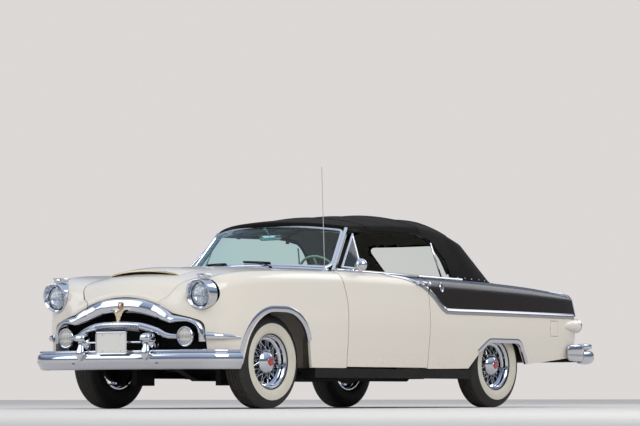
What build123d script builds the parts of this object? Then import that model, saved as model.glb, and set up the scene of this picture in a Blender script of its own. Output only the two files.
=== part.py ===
"""A full-size two-door convertible car of the early 1950s, with its soft top raised.

Millimetres. +X points to the front of the car, +Y to its left and +Z up. The origin lies on the ground
below the middle of the car's overall length and width.
"""

import os
from math import cos, radians, sin, tan

from build123d import *

# ---- driving dimensions ----
WHEELBASE = 3099.0
FRONT_OVERHANG = 885.0
REAR_OVERHANG = 1556.0
FRONT_TRACK = 1528.0
REAR_TRACK = 1544.0
TYRE_RADIUS = 360.0
TYRE_WIDTH = 212.0
RIM_RADIUS = 208.0
RIM_WIDTH = 166.0
HUB_RADIUS = 94.0
SPOKE_RADIUS = 3.2
SPOKES = 40
DRUM_RADIUS = 152.0
KINGPIN_Y = 650.0
SPINDLE_RADIUS = 21.0
SKIN = 24.0  # thickness of the lids, fenders and cowl
DOOR_THICKNESS = 118.0
GAP = 10.0  # shut line round the doors and lids
SEAM = 0.3  # what separates pieces that are carried by one another
PAD = 24.0  # thickness of the padded soft top
FLOOR_Z = 316.0
FLOOR_THICKNESS = 20.0
SILL_FOOT_Z = 240.0
RAIL_Y = 370.0  # inner side of the frame's rails
RAIL_WIDTH = 80.0
CABIN_HALF_WIDTH = 832.0
QUARTER_INNER_Y = 618.0
QUARTER_WALL = 26.0
BUMPER_FRONT_Z = (298.0, 352.0, 448.0)  # foot, ridge and top of the front bumper's blade
STEERING_WHEEL_RADIUS = 215.0
STEERING_RAKE = 30.0
HEADLAMP_RADIUS = 116.0

FRONT_AXLE = (WHEELBASE + FRONT_OVERHANG + REAR_OVERHANG) / 2 - FRONT_OVERHANG
REAR_AXLE = FRONT_AXLE - WHEELBASE


def aft(distance):
    """The x of a place that lies this far behind the front axle."""
    return FRONT_AXLE - distance


def past(distance):
    """The x of a place that lies this far behind the rear axle."""
    return REAR_AXLE - distance


# ---- shapes from outlines ----
def block(low, high):
    """A box from its low corner to its high one."""
    size = [abs(b - a) for a, b in zip(low, high)]
    middle = [(a + b) / 2 for a, b in zip(low, high)]
    return Pos(*middle) * Box(*size)


def rounded(points, radius=0.0):
    """A closed outline in the plane of its points, with its corners rounded by one radius or by a list."""
    if radius == 0.0:
        return Wire.make_polygon(points, close=True)
    return Wire(FilletPolyline(*points, radius=radius, close=True).edges())


def side_prism(points, y0, y1, radius=0.0):
    """An outline of x and z, carried from y0 to y1."""
    wire = rounded([Vector(x, y0, z) for x, z in points], radius)
    return extrude(Face(wire), amount=y1 - y0, dir=(0, 1, 0))


def plan_prism(points, z0, z1, radius=0.0):
    """An outline of x and y, carried from z0 to z1."""
    wire = rounded([Vector(x, y, z0) for x, y in points], radius)
    return extrude(Face(wire), amount=z1 - z0, dir=(0, 0, 1))


def front_prism(points, x0, x1, radius=0.0):
    """An outline of y and z, carried from x0 to x1."""
    wire = rounded([Vector(x0, y, z) for y, z in points], radius)
    return extrude(Face(wire), amount=x1 - x0, dir=(1, 0, 0))


def turned(profile, centre, axis):
    """A profile of (radius, along) points turned about an axis through centre."""
    plane = Plane(origin=centre, x_dir=Vector(0, 0, 1) if abs(axis[2]) < 0.9 else Vector(1, 0, 0), z_dir=axis)
    points = [plane.from_local_coords((radius, 0, along)) for radius, along in profile]
    face = Face(Wire.make_polygon(points, close=True))
    return revolve(face, Axis(centre, axis), 360)


def rod(start, end, radius):
    """A round bar between two points."""
    start, end = Vector(*start), Vector(*end)
    way = end - start
    return Solid.make_cylinder(radius, way.length, Plane(origin=start, z_dir=way))


def tube(points, radius, bend):
    """A round bar along straight runs joined by bends of one radius."""
    path = FilletPolyline(*points, radius=bend) if len(points) > 2 else Line(*points)
    plane = Plane(origin=path @ 0, z_dir=path % 0)
    return sweep(plane * Circle(radius), path=path)


def mirrored(shape):
    """The same piece on the other side of the car."""
    return mirror(shape, about=Plane.XZ)


def pair(shape):
    """A piece and its mirror image, as separate solids."""
    return Compound(list(shape.solids()) + list(mirrored(shape).solids()))


def group(*shapes):
    """Several separate solids in one node."""
    solids = []
    for shape in shapes:
        solids += list(shape.solids())
    return Compound(solids)


# ---- the body's outer form ----
# Each row is one cross-section of the body: the axle that it keeps its distance from, that distance, the
# height at the centre line, then the y and z of the valley beside the hood, of the shoulder, of the widest
# place and of the foot, and the radii that round the shoulder and the side.
BODY_SECTIONS = (
    (aft, -740.0, 846.0, 360.0, 786.0, 470.0, 728.0, 500.0, 600.0, 480.0, 420.0, 50.0, 300.0),
    (aft, -712.0, 916.0, 418.0, 850.0, 600.0, 806.0, 632.0, 600.0, 602.0, 402.0, 80.0, 500.0),
    (aft, -672.0, 960.0, 460.0, 910.0, 712.0, 918.0, 746.0, 622.0, 717.0, 388.0, 105.0, 800.0),
    (aft, -608.0, 1000.0, 482.0, 958.0, 818.0, 986.0, 854.0, 652.0, 824.0, 370.0, 110.0, 1000.0),
    (aft, -505.0, 1036.0, 495.0, 990.0, 878.0, 1026.0, 914.0, 682.0, 878.0, 350.0, 110.0, 1100.0),
    (aft, -330.0, 1080.0, 508.0, 1018.0, 906.0, 1050.0, 941.0, 705.0, 902.0, 334.0, 110.0, 1200.0),
    (aft, 0.0, 1110.0, 540.0, 1040.0, 922.0, 1068.0, 957.0, 720.0, 916.0, 322.0, 110.0, 1200.0),
    (aft, 560.0, 1130.0, 600.0, 1060.0, 928.0, 1084.0, 966.0, 725.0, 926.0, 318.0, 110.0, 1200.0),
    (aft, 960.0, 1134.0, 640.0, 1070.0, 928.0, 1088.0, 968.0, 725.0, 928.0, 318.0, 110.0, 1200.0),
    (past, -1080.0, 1090.0, 640.0, 1066.0, 926.0, 1082.0, 968.0, 722.0, 928.0, 320.0, 110.0, 1200.0),
    (past, -300.0, 1082.0, 634.0, 1054.0, 916.0, 1068.0, 965.0, 718.0, 926.0, 330.0, 110.0, 1200.0),
    (past, 450.0, 1058.0, 615.0, 1028.0, 896.0, 1044.0, 952.0, 706.0, 914.0, 372.0, 105.0, 1200.0),
    (past, 850.0, 1024.0, 606.0, 1000.0, 880.0, 1022.0, 936.0, 692.0, 898.0, 405.0, 95.0, 1100.0),
    (past, 1130.0, 988.0, 600.0, 966.0, 866.0, 1002.0, 918.0, 682.0, 880.0, 430.0, 80.0, 1000.0),
    (past, 1225.0, 970.0, 598.0, 950.0, 858.0, 990.0, 905.0, 676.0, 866.0, 440.0, 70.0, 900.0),
)
NOSE_X = aft(BODY_SECTIONS[0][1])
TAIL_X = past(BODY_SECTIONS[-1][1])
NOSE_STEPS = (26.0, 38.0, 54.0, 75.0, 100.0, 130.0, 160.0, 195.0)
TAIL_STEPS = (180.0, 135.0, 95.0)
STEP = 225.0  # about as far as the other cross-sections are apart
DECK_TURN = past(860.0)  # where the deck lid begins to bend down to the tail
DECK_TURN_Z = 1030.0
TAIL_LIP_Z = 640.0  # foot of the deck lid
HIGH = 1400.0  # above every panel of the body
LOW = 100.0  # below every panel of the body


def body_section(x, row, inset):
    """One cross-section of the body as a face at x, drawn in by inset."""
    z_mid, y_valley, z_valley, y_top, z_top, y_side, z_side, y_foot, z_foot, r_top, r_side = row

    def side(sign):
        return [
            Vector(x, sign * (y_foot - inset), z_foot - abs(inset)),
            Vector(x, sign * (y_side - inset), z_side),
            Vector(x, sign * (y_top - inset), z_top - inset),
            Vector(x, sign * y_valley, z_valley - inset),
        ]

    radii = [r_side, r_top - inset]
    left, right = side(1), side(-1)
    wire = Wire(
        FilletPolyline(*left, radius=radii).edges()
        + [Edge.make_three_point_arc(left[-1], Vector(x, 0, z_mid - inset), right[-1])]
        + FilletPolyline(*reversed(right), radius=radii[::-1]).edges()
        + [Edge.make_line(right[0], left[0])]
    )
    return Face(wire)


def body_stations():
    """The places of the cross-sections, closer together towards the nose and the tail."""
    steps = list(NOSE_STEPS)
    rest = NOSE_X - TAIL_X - sum(NOSE_STEPS) - sum(TAIL_STEPS)
    count = round(rest / STEP)
    steps += [rest / count] * count + list(TAIL_STEPS)
    stations = [NOSE_X]
    for step in steps:
        stations.append(stations[-1] - step)
    return stations


def body_row(x):
    """The cross-section at any place, on smooth curves through the rows of the table."""
    places = [row[0](row[1]) for row in BODY_SECTIONS]
    last = len(places) - 1
    number = max([n for n in range(last) if places[n] >= x - 0.001] or [0])
    start, end = places[number], places[number + 1]
    share = (x - start) / (end - start)

    def slope(column, at):
        before, after = max(at - 1, 0), min(at + 1, last)
        rise_in = (BODY_SECTIONS[at][column] - BODY_SECTIONS[before][column]) / ((places[at] - places[before]) or 1)
        rise_out = (BODY_SECTIONS[after][column] - BODY_SECTIONS[at][column]) / ((places[after] - places[at]) or 1)
        if before == at:
            return rise_out
        if after == at:
            return rise_in
        return 2 * rise_in * rise_out / (rise_in + rise_out) if rise_in * rise_out > 0 else 0.0

    values = []
    for column in range(2, len(BODY_SECTIONS[0])):
        a, b = BODY_SECTIONS[number][column], BODY_SECTIONS[number + 1][column]
        rise_a, rise_b = slope(column, number), slope(column, number + 1)
        values.append(
            (2 * share**3 - 3 * share**2 + 1) * a
            + (share**3 - 2 * share**2 + share) * (end - start) * rise_a
            + (3 * share**2 - 2 * share**3) * b
            + (share**3 - share**2) * (end - start) * rise_b
        )
    return values


def body_form(inset):
    """The whole body as one solid, with its top, sides, nose and tail drawn in by inset."""
    middle, half = (NOSE_X + TAIL_X) / 2, (NOSE_X - TAIL_X) / 2
    faces = []
    for x in body_stations():
        drawn_in = middle + (x - middle) * (half - inset) / half
        faces.append(body_section(drawn_in, body_row(x), inset))
    return loft(faces) - deck_trim(inset)


def deck_trim(inset):
    """What is cut away behind the deck so that it bends down between the fins."""
    start = Vector(DECK_TURN, 0, DECK_TURN_Z - inset)
    end = Vector(TAIL_X + inset, 0, TAIL_LIP_Z)
    outline = Wire([
        Edge.make_tangent_arc(start, Vector(-1, 0, -0.12), end),
        Edge.make_line(end, Vector(TAIL_X - 100, 0, TAIL_LIP_Z)),
        Edge.make_line(Vector(TAIL_X - 100, 0, TAIL_LIP_Z), Vector(TAIL_X - 100, 0, HIGH)),
        Edge.make_line(Vector(TAIL_X - 100, 0, HIGH), Vector(DECK_TURN, 0, HIGH)),
        Edge.make_line(Vector(DECK_TURN, 0, HIGH), start),
    ])
    return extrude(Face(outline), amount=QUARTER_INNER_Y - GAP / 2, dir=(0, 1, 0), both=True)


def valley_line(offset, first, last):
    """Points along the valley beside the hood, this far outside it, from one station to another."""
    points = []
    for x in body_stations():
        if last <= x <= first:
            points.append((x, body_row(x)[1] + offset))
    return points


def top_region(offset):
    """The plan of what lies between the valleys, from the nose to the windshield, grown by offset each side."""
    line = valley_line(offset, NOSE_X + 1, PILLAR_X[1] - STEP)
    left = [(NOSE_X + 100, line[0][1])] + line
    right = [(x, -y) for x, y in reversed(left)]
    return plan_prism(left + right, LOW, HIGH)


# ---- the shut lines ----
COWL_FRONT = (aft(560.0), aft(700.0))  # rear edge of the hood, at the middle and at its corners
COWL_CORNER_Y = 612.0
COWL_REAR_X = aft(960.0)
HOOD_HINGE = (aft(748.0), 1050.0)
HOOD_HINGE_Y = 480.0
DOOR_FRONT = ((aft(796.0), 1110.0), (aft(862.0), 860.0), (aft(885.0), 300.0))
DOOR_FRONT_RADIUS = 500.0
DOOR_REAR_X = aft(1985.0)
DOOR_FOOT_Z = 328.0
DOOR_HINGE = (aft(772.0), 940.0)
DOOR_HINGE_Z = (600.0, 830.0)
PIN_RADIUS = 5.0
BARREL_RADIUS = 9.0
RUNNING = 0.6  # clearance round a hinge's pin
PILLAR_X = (aft(892.0), aft(950.0))
DECK_FRONT_X = aft(3880.0)
DECK_HINGE = (aft(3852.0), 1030.0)
DECK_HINGE_Y = 150.0
GRILLE_ARCH = (845.0, 489.0, 724.0)  # crown height, half width and foot height of the chrome arch
GRILLE_HUMP = ((630.0, 690.0), (745.0, 655.0), (762.0, 430.0))
OPENING_ARCH = (741.0, 470.0, 646.0)
OPENING_HUMP = ((575.0, 662.0), (700.0, 640.0), (712.0, 430.0))
CHROME = 14.0  # how proud the chrome of the front stands
WHEEL_ARCH_FRONT = ((455.0, 200.0), (325.0, 741.0), (-308.0, 741.0), (-427.0, 200.0))
WHEEL_ARCH_RADIUS = 320.0
WHEEL_ARCH_REAR = ((-560.0, 280.0), (-360.0, 455.0), (-215.0, 545.0), (255.0, 545.0), (385.0, 371.0), (440.0, 200.0))
WHEEL_ARCH_REAR_RADII = (1.0, 60.0, 110.0, 110.0, 60.0, 1.0)


def arched_outline(arch, hump, x, grow=0.0):
    """The front view of an arch over the grille that runs out over the parking lamps."""
    crown, half, foot = arch
    top = Vector(x, 0, crown + grow)
    corner = Vector(x, half, foot + grow)
    points = [corner] + [Vector(x, y + grow, z + grow) for y, z in hump[:-1]]
    points.append(Vector(x, hump[-1][0] + grow, hump[-1][1] - grow))
    left = FilletPolyline(*points, radius=[60.0, 70.0]).edges()
    right = [edge.mirror(Plane.XZ) for edge in left]
    arc = Edge.make_three_point_arc(Vector(x, -half, foot + grow), top, corner)
    end = left[-1] @ 1
    foot_line = Edge.make_line(end, Vector(x, -end.Y, end.Z))
    return Face(Wire([arc] + list(left) + right + [foot_line]))


def door_region(front_shift, rear_shift, foot_shift):
    """The side view of the door, from the sill up past the belt."""
    points = [(x + front_shift, z) for x, z in DOOR_FRONT]
    outline = [Vector(x, 0, z) for x, z in points]
    front = FilletPolyline(*outline, radius=[DOOR_FRONT_RADIUS]).edges()
    start, end = outline[0], outline[-1]
    foot = DOOR_FOOT_Z + foot_shift
    face = Face(Wire(list(front) + [
        Edge.make_line(end, Vector(DOOR_REAR_X + rear_shift, 0, end.Z)),
        Edge.make_line(Vector(DOOR_REAR_X + rear_shift, 0, end.Z), Vector(DOOR_REAR_X + rear_shift, 0, HIGH)),
        Edge.make_line(Vector(DOOR_REAR_X + rear_shift, 0, HIGH), Vector(start.X, 0, HIGH)),
        Edge.make_line(Vector(start.X, 0, HIGH), start),
    ]))
    prism = extrude(face, amount=1200, dir=(0, 1, 0))
    return prism - block((-3000, -10, -1000), (3000, 1300, foot))


def hood_arc(shift, z0, z1):
    """Everything behind the curved rear edge of the hood, moved along x by shift."""
    mid, corner = COWL_FRONT[0] + shift, COWL_FRONT[1] + shift
    face = Face(Wire([
        Edge.make_three_point_arc(
            Vector(corner, -COWL_CORNER_Y, z0), Vector(mid, 0, z0), Vector(corner, COWL_CORNER_Y, z0)
        ),
        Edge.make_line(Vector(corner, COWL_CORNER_Y, z0), Vector(corner, 1200, z0)),
        Edge.make_line(Vector(corner, 1200, z0), Vector(-3000, 1200, z0)),
        Edge.make_line(Vector(-3000, 1200, z0), Vector(-3000, -1200, z0)),
        Edge.make_line(Vector(-3000, -1200, z0), Vector(corner, -1200, z0)),
        Edge.make_line(Vector(corner, -1200, z0), Vector(corner, -COWL_CORNER_Y, z0)),
    ]))
    return extrude(face, amount=z1 - z0, dir=(0, 0, 1))


# ---- the body's panels ----
def hood_panel(outer, inner):
    """The hood: a shell between the valleys, from the chrome arch back to the cowl."""
    grille = extrude(arched_outline(GRILLE_ARCH, GRILLE_HUMP, aft(-500), 6.0), amount=400, dir=(1, 0, 0))
    panel = (outer & top_region(-GAP / 2)) - inner
    panel -= grille
    panel -= hood_arc(0, LOW, HIGH)
    panel -= block((-3000, -1200, LOW), (aft(-560), 1200, 860))
    panel -= block((-3000, -1200, LOW), (3000, 1200, 724))
    panel = max(panel.solids(), key=lambda solid: solid.volume)
    x, z = HOOD_HINGE
    arm = side_prism([(x - 6, z + 4), (x + 6, z + 4), (x + 6, z - 84), (x + 109, z - 84), (x + 109, z + 70), (x + 121, z + 70),
                      (x + 121, z - 96), (x - 6, z - 96)], HOOD_HINGE_Y - 6, HOOD_HINGE_Y + 6)
    arm = (arm & inner) + rod((x, HOOD_HINGE_Y - 6, z), (x, HOOD_HINGE_Y + 6, z), BARREL_RADIUS)
    arm += block((x + 109, HOOD_HINGE_Y - 6, z - 40), (x + 121, HOOD_HINGE_Y + 6, z + 34))
    arm -= rod((x, HOOD_HINGE_Y - 20, z), (x, HOOD_HINGE_Y + 20, z), PIN_RADIUS + RUNNING)
    return panel + arm + mirrored(arm)


def front_fender(outer, inner):
    """The left front fender: an outer shell from the lamps to the door, open below and at the wheel."""
    region = top_region(GAP / 2)
    panel = outer - region - inner
    panel &= block((DOOR_FRONT[2][0], 1, LOW), (3000, 1200, HIGH))
    panel -= door_region(GAP, 0, -400)
    panel -= block((COWL_REAR_X - 5, -1, LOW), (COWL_FRONT[1] - GAP, CABIN_HALF_WIDTH + SEAM, HIGH))
    opening = extrude(arched_outline(GRILLE_ARCH, GRILLE_HUMP, aft(-450), 0.5), amount=500, dir=(1, 0, 0))
    panel -= opening
    arch = [(aft(d), z) for d, z in WHEEL_ARCH_FRONT]
    panel -= side_prism(arch, 700, 1200, [1.0, WHEEL_ARCH_RADIUS, WHEEL_ARCH_RADIUS, 1.0])
    panel -= turned([(0, -90), (HEADLAMP_RADIUS + 1, -90), (HEADLAMP_RADIUS + 1, 90), (0, 90)], LAMP_PLACE, (1, 0, 0))
    x, y = DOOR_HINGE
    for z in DOOR_HINGE_Z:
        lugs = block((x - 11, y - 13, z - 26), (x + 11, y + 6, z + 26))
        panel += lugs
        panel -= rod((x, y, z - 14), (x, y, z + 14), BARREL_RADIUS + 4)
        panel -= block((x - 120, y - 130, z - 14), (x + 13, y + 4, z + 14))
        panel += rod((x, y, z - 20), (x, y, z + 20), PIN_RADIUS)
    return max(panel.solids(), key=lambda solid: solid.volume)


def cowl_panel(outer, inner):
    """The cowl with the firewall below it and the door pillars at its sides."""
    middle = top_region(GAP / 2 - SEAM) & hood_arc(-GAP, FLOOR_Z + SEAM, HIGH)
    middle &= block((COWL_REAR_X, -1200, LOW), (3000, 1200, HIGH))
    sides = block((COWL_REAR_X, -CABIN_HALF_WIDTH, FLOOR_Z + SEAM), (PILLAR_X[0], CABIN_HALF_WIDTH, HIGH))
    panel = outer & (middle + sides)
    room = inner & hood_arc(-GAP - SKIN, LOW, HIGH)
    room &= block((COWL_REAR_X - 5, -COWL_CORNER_Y, LOW), (3000, COWL_CORNER_Y, HIGH))
    panel -= room
    panel -= block((COWL_REAR_X - 1, -BELL_HALF - 13, LOW), (COWL_FRONT[0] + 5, BELL_HALF + 13, BELL_TOP_Z + 13))
    panel = max(panel.solids(), key=lambda solid: solid.volume)
    x, z = HOOD_HINGE
    for side in (1, -1):
        y = side * HOOD_HINGE_Y
        panel -= block((x + 40, y - 14, z - 110), (x + 105, y + 14, z - 4))
        lugs = block((x - 10, y - 22, z - 10), (x + 10, y + 22, z + 26)) - block((x - 20, y - 12, z - 20), (x + 20, y + 12, z + 14))
        panel += (lugs & outer) + rod((x, y - 16, z), (x, y + 16, z), PIN_RADIUS)
    return panel


def door_panel(outer):
    """The left door: as thick as the body's side, with a recess for its lining."""
    panel = outer & door_region(0, 0, 0)
    panel &= block((-3000, 960 - DOOR_THICKNESS, LOW), (3000, 1200, HIGH))
    lining = block((DOOR_REAR_X + 60, 960 - DOOR_THICKNESS - 1, 420), (aft(960), 960 - DOOR_THICKNESS + 8, 980))
    panel -= lining
    x, y = DOOR_HINGE
    for z in DOOR_HINGE_Z:
        strap = block((x - 5, 846, z - 9), (x + 5, y, z + 9)) + block((aft(905), 846, z - 9), (x + 5, 854, z + 9))
        strap += rod((x, y, z - 9), (x, y, z + 9), BARREL_RADIUS)
        panel += strap
        panel -= rod((x, y, z - 20), (x, y, z + 20), PIN_RADIUS + RUNNING)
    return panel


def quarter_panel(outer, inner):
    """The left rear quarter: outer shell, inner wall and jamb, open below and at the wheel."""
    panel = outer & block((TAIL_X - 5, QUARTER_INNER_Y, LOW), (DOOR_REAR_X - GAP, 1200, HIGH))
    pocket = inner & block((TAIL_X + 60, QUARTER_INNER_Y + QUARTER_WALL, LOW), (DOOR_REAR_X - GAP - 40, 1200, HIGH))
    panel -= pocket
    panel -= block((TAIL_X - 5, 0, LOW), (past(-430), QUARTER_INNER_Y + QUARTER_WALL, TRUNK_FLOOR_Z + SEAM))
    panel -= block((TAIL_X - 5, 0, LOW), (DOOR_REAR_X, CABIN_HALF_WIDTH, FLOOR_Z + SEAM))
    arch = [(past(d), z) for d, z in WHEEL_ARCH_REAR]
    panel -= side_prism(arch, 700, 1200, list(WHEEL_ARCH_REAR_RADII))
    low, high = FUEL_DOOR
    panel -= block((low[0], 860, low[1]), (high[0], 1200, high[1]))
    x, y, z = FUEL_HINGE
    panel -= block((x - 8, y - 8, z - 12), (x + 7, 1200, z + 12))
    panel += rod((x, y, z - 16), (x, y, z + 16), 2)
    return max(panel.solids(), key=lambda solid: solid.volume)


def deck_panels(outer, inner):
    """The deck lid and the deck in front of it, and the tail panel below the lid."""
    half = QUARTER_INNER_Y - GAP
    strip = outer & block((TAIL_X - 5, -half, LOW), (DECK_FRONT_X, half, HIGH))
    strip -= inner
    lid = strip - block((-3000, -1200, LOW), (3000, 1200, TAIL_LIP_Z + 6))
    half = QUARTER_INNER_Y - SEAM
    shelf = outer & block((DECK_FRONT_X + GAP, -half, LOW), (aft(3720), half, HIGH))
    shelf -= inner
    x, z = DECK_HINGE
    for y in (DECK_HINGE_Y, -DECK_HINGE_Y):
        shelf -= block((x - 40, y - 16, z - 60), (x + 15, y + 16, z + 60))
        shelf += rod((x, y - 22, z), (x, y + 22, z), PIN_RADIUS - 1)
        lug = rod((x, y - 11, z), (x, y + 11, z), BARREL_RADIUS - 1) + block((x - 45, y - 11, z - 8), (x, y + 11, z + 1))
        lid += lug - rod((x, y - 30, z), (x, y + 30, z), PIN_RADIUS - 1 + RUNNING)
    lower = outer & block((TAIL_X - 5, -half, TAIL_FOOT_Z), (TAIL_X + SKIN, half, TAIL_LIP_Z - 4))
    lower += block((TAIL_X + SKIN, -half, TRUNK_FLOOR_Z), (TAIL_X + SKIN + 30, half, TAIL_LIP_Z - 60))
    return lid, shelf, lower


# ---- places of the lamps and the fuel door ----
LAMP_PLACE = (aft(-640.0), 721.0, 861.0)
PARKING_PLACE = (aft(-700.0), 597.0, 547.0)
FUEL_DOOR = ((aft(4000.0), 615.0), (aft(3868.0), 750.0))
FUEL_HINGE = (aft(3862.0), 930.0, 682.5)
TAIL_FOOT_Z = 485.0
ARM_REACH = 165.0  # how far above and below the wheel's centre the front arms meet the knuckle
BELL_HALF = 165.0
BELL_TOP_Z = 600.0
TUNNEL_HALF = 115.0
TUNNEL_TOP_Z = 455.0
TRUNK_FLOOR_Z = 540.3
SEAT_BACK_X = aft(2750.0)
WELL_Z = 780.0
FLOOR_LINE = ((664.0, 296.0), (2350.0, 296.0), (2730.0, 520.0), (4300.0, 520.0))
RAIL_TOP = (
    (-700.0, 402.0), (-300.0, 422.0), (350.0, 422.0), (650.0, 296.0), (2350.0, 296.0), (2730.0, 520.0),
    (3480.0, 520.0), (3800.0, 470.0), (4420.0, 470.0),
)
RAIL_FOOT = (
    (4420.0, 400.0), (3800.0, 400.0), (3480.0, 455.0), (2750.0, 455.0), (2380.0, 218.0), (640.0, 218.0),
    (350.0, 330.0), (-700.0, 330.0),
)


def frame_piece():
    """The ladder frame: two rails that rise over the axles, joined by crossmembers."""
    outline = [(aft(d), z) for d, z in RAIL_TOP + RAIL_FOOT]
    rail = side_prism(outline, RAIL_Y, RAIL_Y + RAIL_WIDTH)
    frame = rail + mirrored(rail)
    for d, z0, z1, width in ((-640, 335, 395, 70), (0, 335, 415, 200), (760, 222, 250, 90), (1450, 222, 250, 90),
                             (2300, 225, 290, 90), (3400, 462, 515, 80), (4300, 405, 465, 80)):
        frame += block((aft(d) - width / 2, -RAIL_Y - 5, z0), (aft(d) + width / 2, RAIL_Y + 5, z1))
    for d in (1000, 2100):
        out = block((aft(d) - 45, RAIL_Y + RAIL_WIDTH - 5, 236), (aft(d) + 45, CABIN_HALF_WIDTH - 46, 290))
        frame += out + mirrored(out)
    side = RAIL_Y + RAIL_WIDTH
    for z0, z1 in ((TYRE_RADIUS - ARM_REACH - 16, 340), (415, TYRE_RADIUS + ARM_REACH + 16)):
        tower = block((FRONT_AXLE - 110, side - 50, z0), (FRONT_AXLE + 110, side, z1))
        frame += tower + mirrored(tower)
    return frame


def floor_piece():
    """The floor: flat in the cabin, up over the rear axle and flat again in the trunk, with its tunnel."""
    rise = SEAM + FLOOR_THICKNESS
    under = [(aft(d), z + SEAM) for d, z in FLOOR_LINE]
    upper = [(aft(d - 8), z + rise) for d, z in reversed(FLOOR_LINE)]
    upper[0] = (under[-1][0], upper[0][1])
    upper[-1] = (under[0][0], upper[-1][1])
    outline = under + upper
    half, narrow = CABIN_HALF_WIDTH - 46, QUARTER_INNER_Y - SEAM
    floor = side_prism(outline, -narrow, narrow)
    floor += block((DOOR_REAR_X - GAP - 40, -half, FLOOR_Z - FLOOR_THICKNESS), (under[0][0], half, FLOOR_Z))
    tunnels = (
        (COWL_REAR_X - 40, under[0][0], BELL_HALF, BELL_TOP_Z),
        (aft(2640), COWL_REAR_X, TUNNEL_HALF, TUNNEL_TOP_Z),
    )
    for x0, x1, wide, top in tunnels:
        floor += block((x0, -wide - 12, FLOOR_Z - 10), (x1, wide + 12, top + 12))
    for x0, x1, wide, top in tunnels:
        wall = 12 if wide == BELL_HALF else -1
        floor -= block((x0 + wall, -wide, LOW), (x1 + 1, wide, top))
    return floor


def bulkhead_piece(inner):
    """The wall behind the rear seat and the well for the folded top."""
    half = QUARTER_INNER_Y - SEAM
    wall = block((SEAT_BACK_X - 20, -half, TRUNK_FLOOR_Z + SEAM), (SEAT_BACK_X, half, 1020))
    well = block((aft(3750), -half, WELL_Z), (SEAT_BACK_X - 10, half, WELL_Z + 20))
    rear = block((aft(3750), -half, WELL_Z), (aft(3730), half, HIGH)) & inner
    return wall + well + rear


def inner_fenders(inner):
    """The aprons at the sides of the engine bay, with their gutters, and the radiator's support."""
    line = valley_line(GAP / 2 + 14, aft(-600), COWL_FRONT[1] + 20)
    lip = [(x, y) for x, y in line] + [(x, y + 12) for x, y in reversed(line)]
    shelf = [(x, y + 12) for x, y in line] + [(line[-1][0], APRON_Y), (line[0][0], APRON_Y)]
    apron = plan_prism(lip, GUTTER_Z, HIGH) & inner
    apron += plan_prism(shelf, GUTTER_Z, GUTTER_Z + 10)
    apron += block((line[-1][0], APRON_Y, APRON_FOOT_Z), (line[0][0], APRON_Y + 10, GUTTER_Z + 5))
    apron -= block((FRONT_AXLE - 200, 400, LOW), (FRONT_AXLE + 200, 500, TYRE_RADIUS + ARM_REACH + 60))
    both = apron + mirrored(apron)
    support = block((line[0][0] - 10, -APRON_Y - 5, 425), (line[0][0] + 10, APRON_Y + 5, GUTTER_Z - 60))
    support -= block((line[0][0] - 20, -330, 460), (line[0][0] + 20, 330, 800))
    return both + support


def grille_piece(proud, back):
    """The chrome arch round the grille, its centre post and its ribbed bar."""
    shell = proud - back
    arch = extrude(arched_outline(GRILLE_ARCH, GRILLE_HUMP, aft(-420)), amount=500, dir=(1, 0, 0))
    arch -= extrude(arched_outline(OPENING_ARCH, OPENING_HUMP, aft(-410), 0.0), amount=520, dir=(1, 0, 0))
    surround = shell & arch
    bar = front_prism(BAR_OUTLINE + [(-y, z) for y, z in reversed(BAR_OUTLINE)], aft(-650), aft(-800), 0.0)
    bar &= proud
    socket = turned([(0, -90), (79 + SEAM, -90), (79 + SEAM, 90), (0, 90)], PARKING_PLACE, (1, 0, 0))
    bar -= socket
    bar -= mirrored(socket)
    post = front_prism([(-16, 640), (16, 640), (62, 742), (62, 790), (-62, 790), (-62, 742)], aft(-700), aft(-800))
    post &= proud
    ribs = None
    for number in range(RIBS):
        y = -RIB_SPAN / 2 + RIB_SPAN * number / (RIBS - 1)
        rib = block((aft(-690), y - 5, 596), (NOSE_X + CHROME + 6, y + 5, 655))
        ribs = rib if ribs is None else ribs + rib
    return surround + bar + post + ribs


BAR_OUTLINE = [
    (0.0, 655.0), (215.0, 650.0), (390.0, 606.0), (462.0, 566.0), (545.0, 566.0), (545.0, 528.0),
               (408.0, 530.0), (300.0, 600.0), (0.0, 612.0),
]
RIBS = 21
RIB_SPAN = 440.0
APRON_Y = 452.0
APRON_FOOT_Z = 425.0
GUTTER_Z = 900.0


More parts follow.
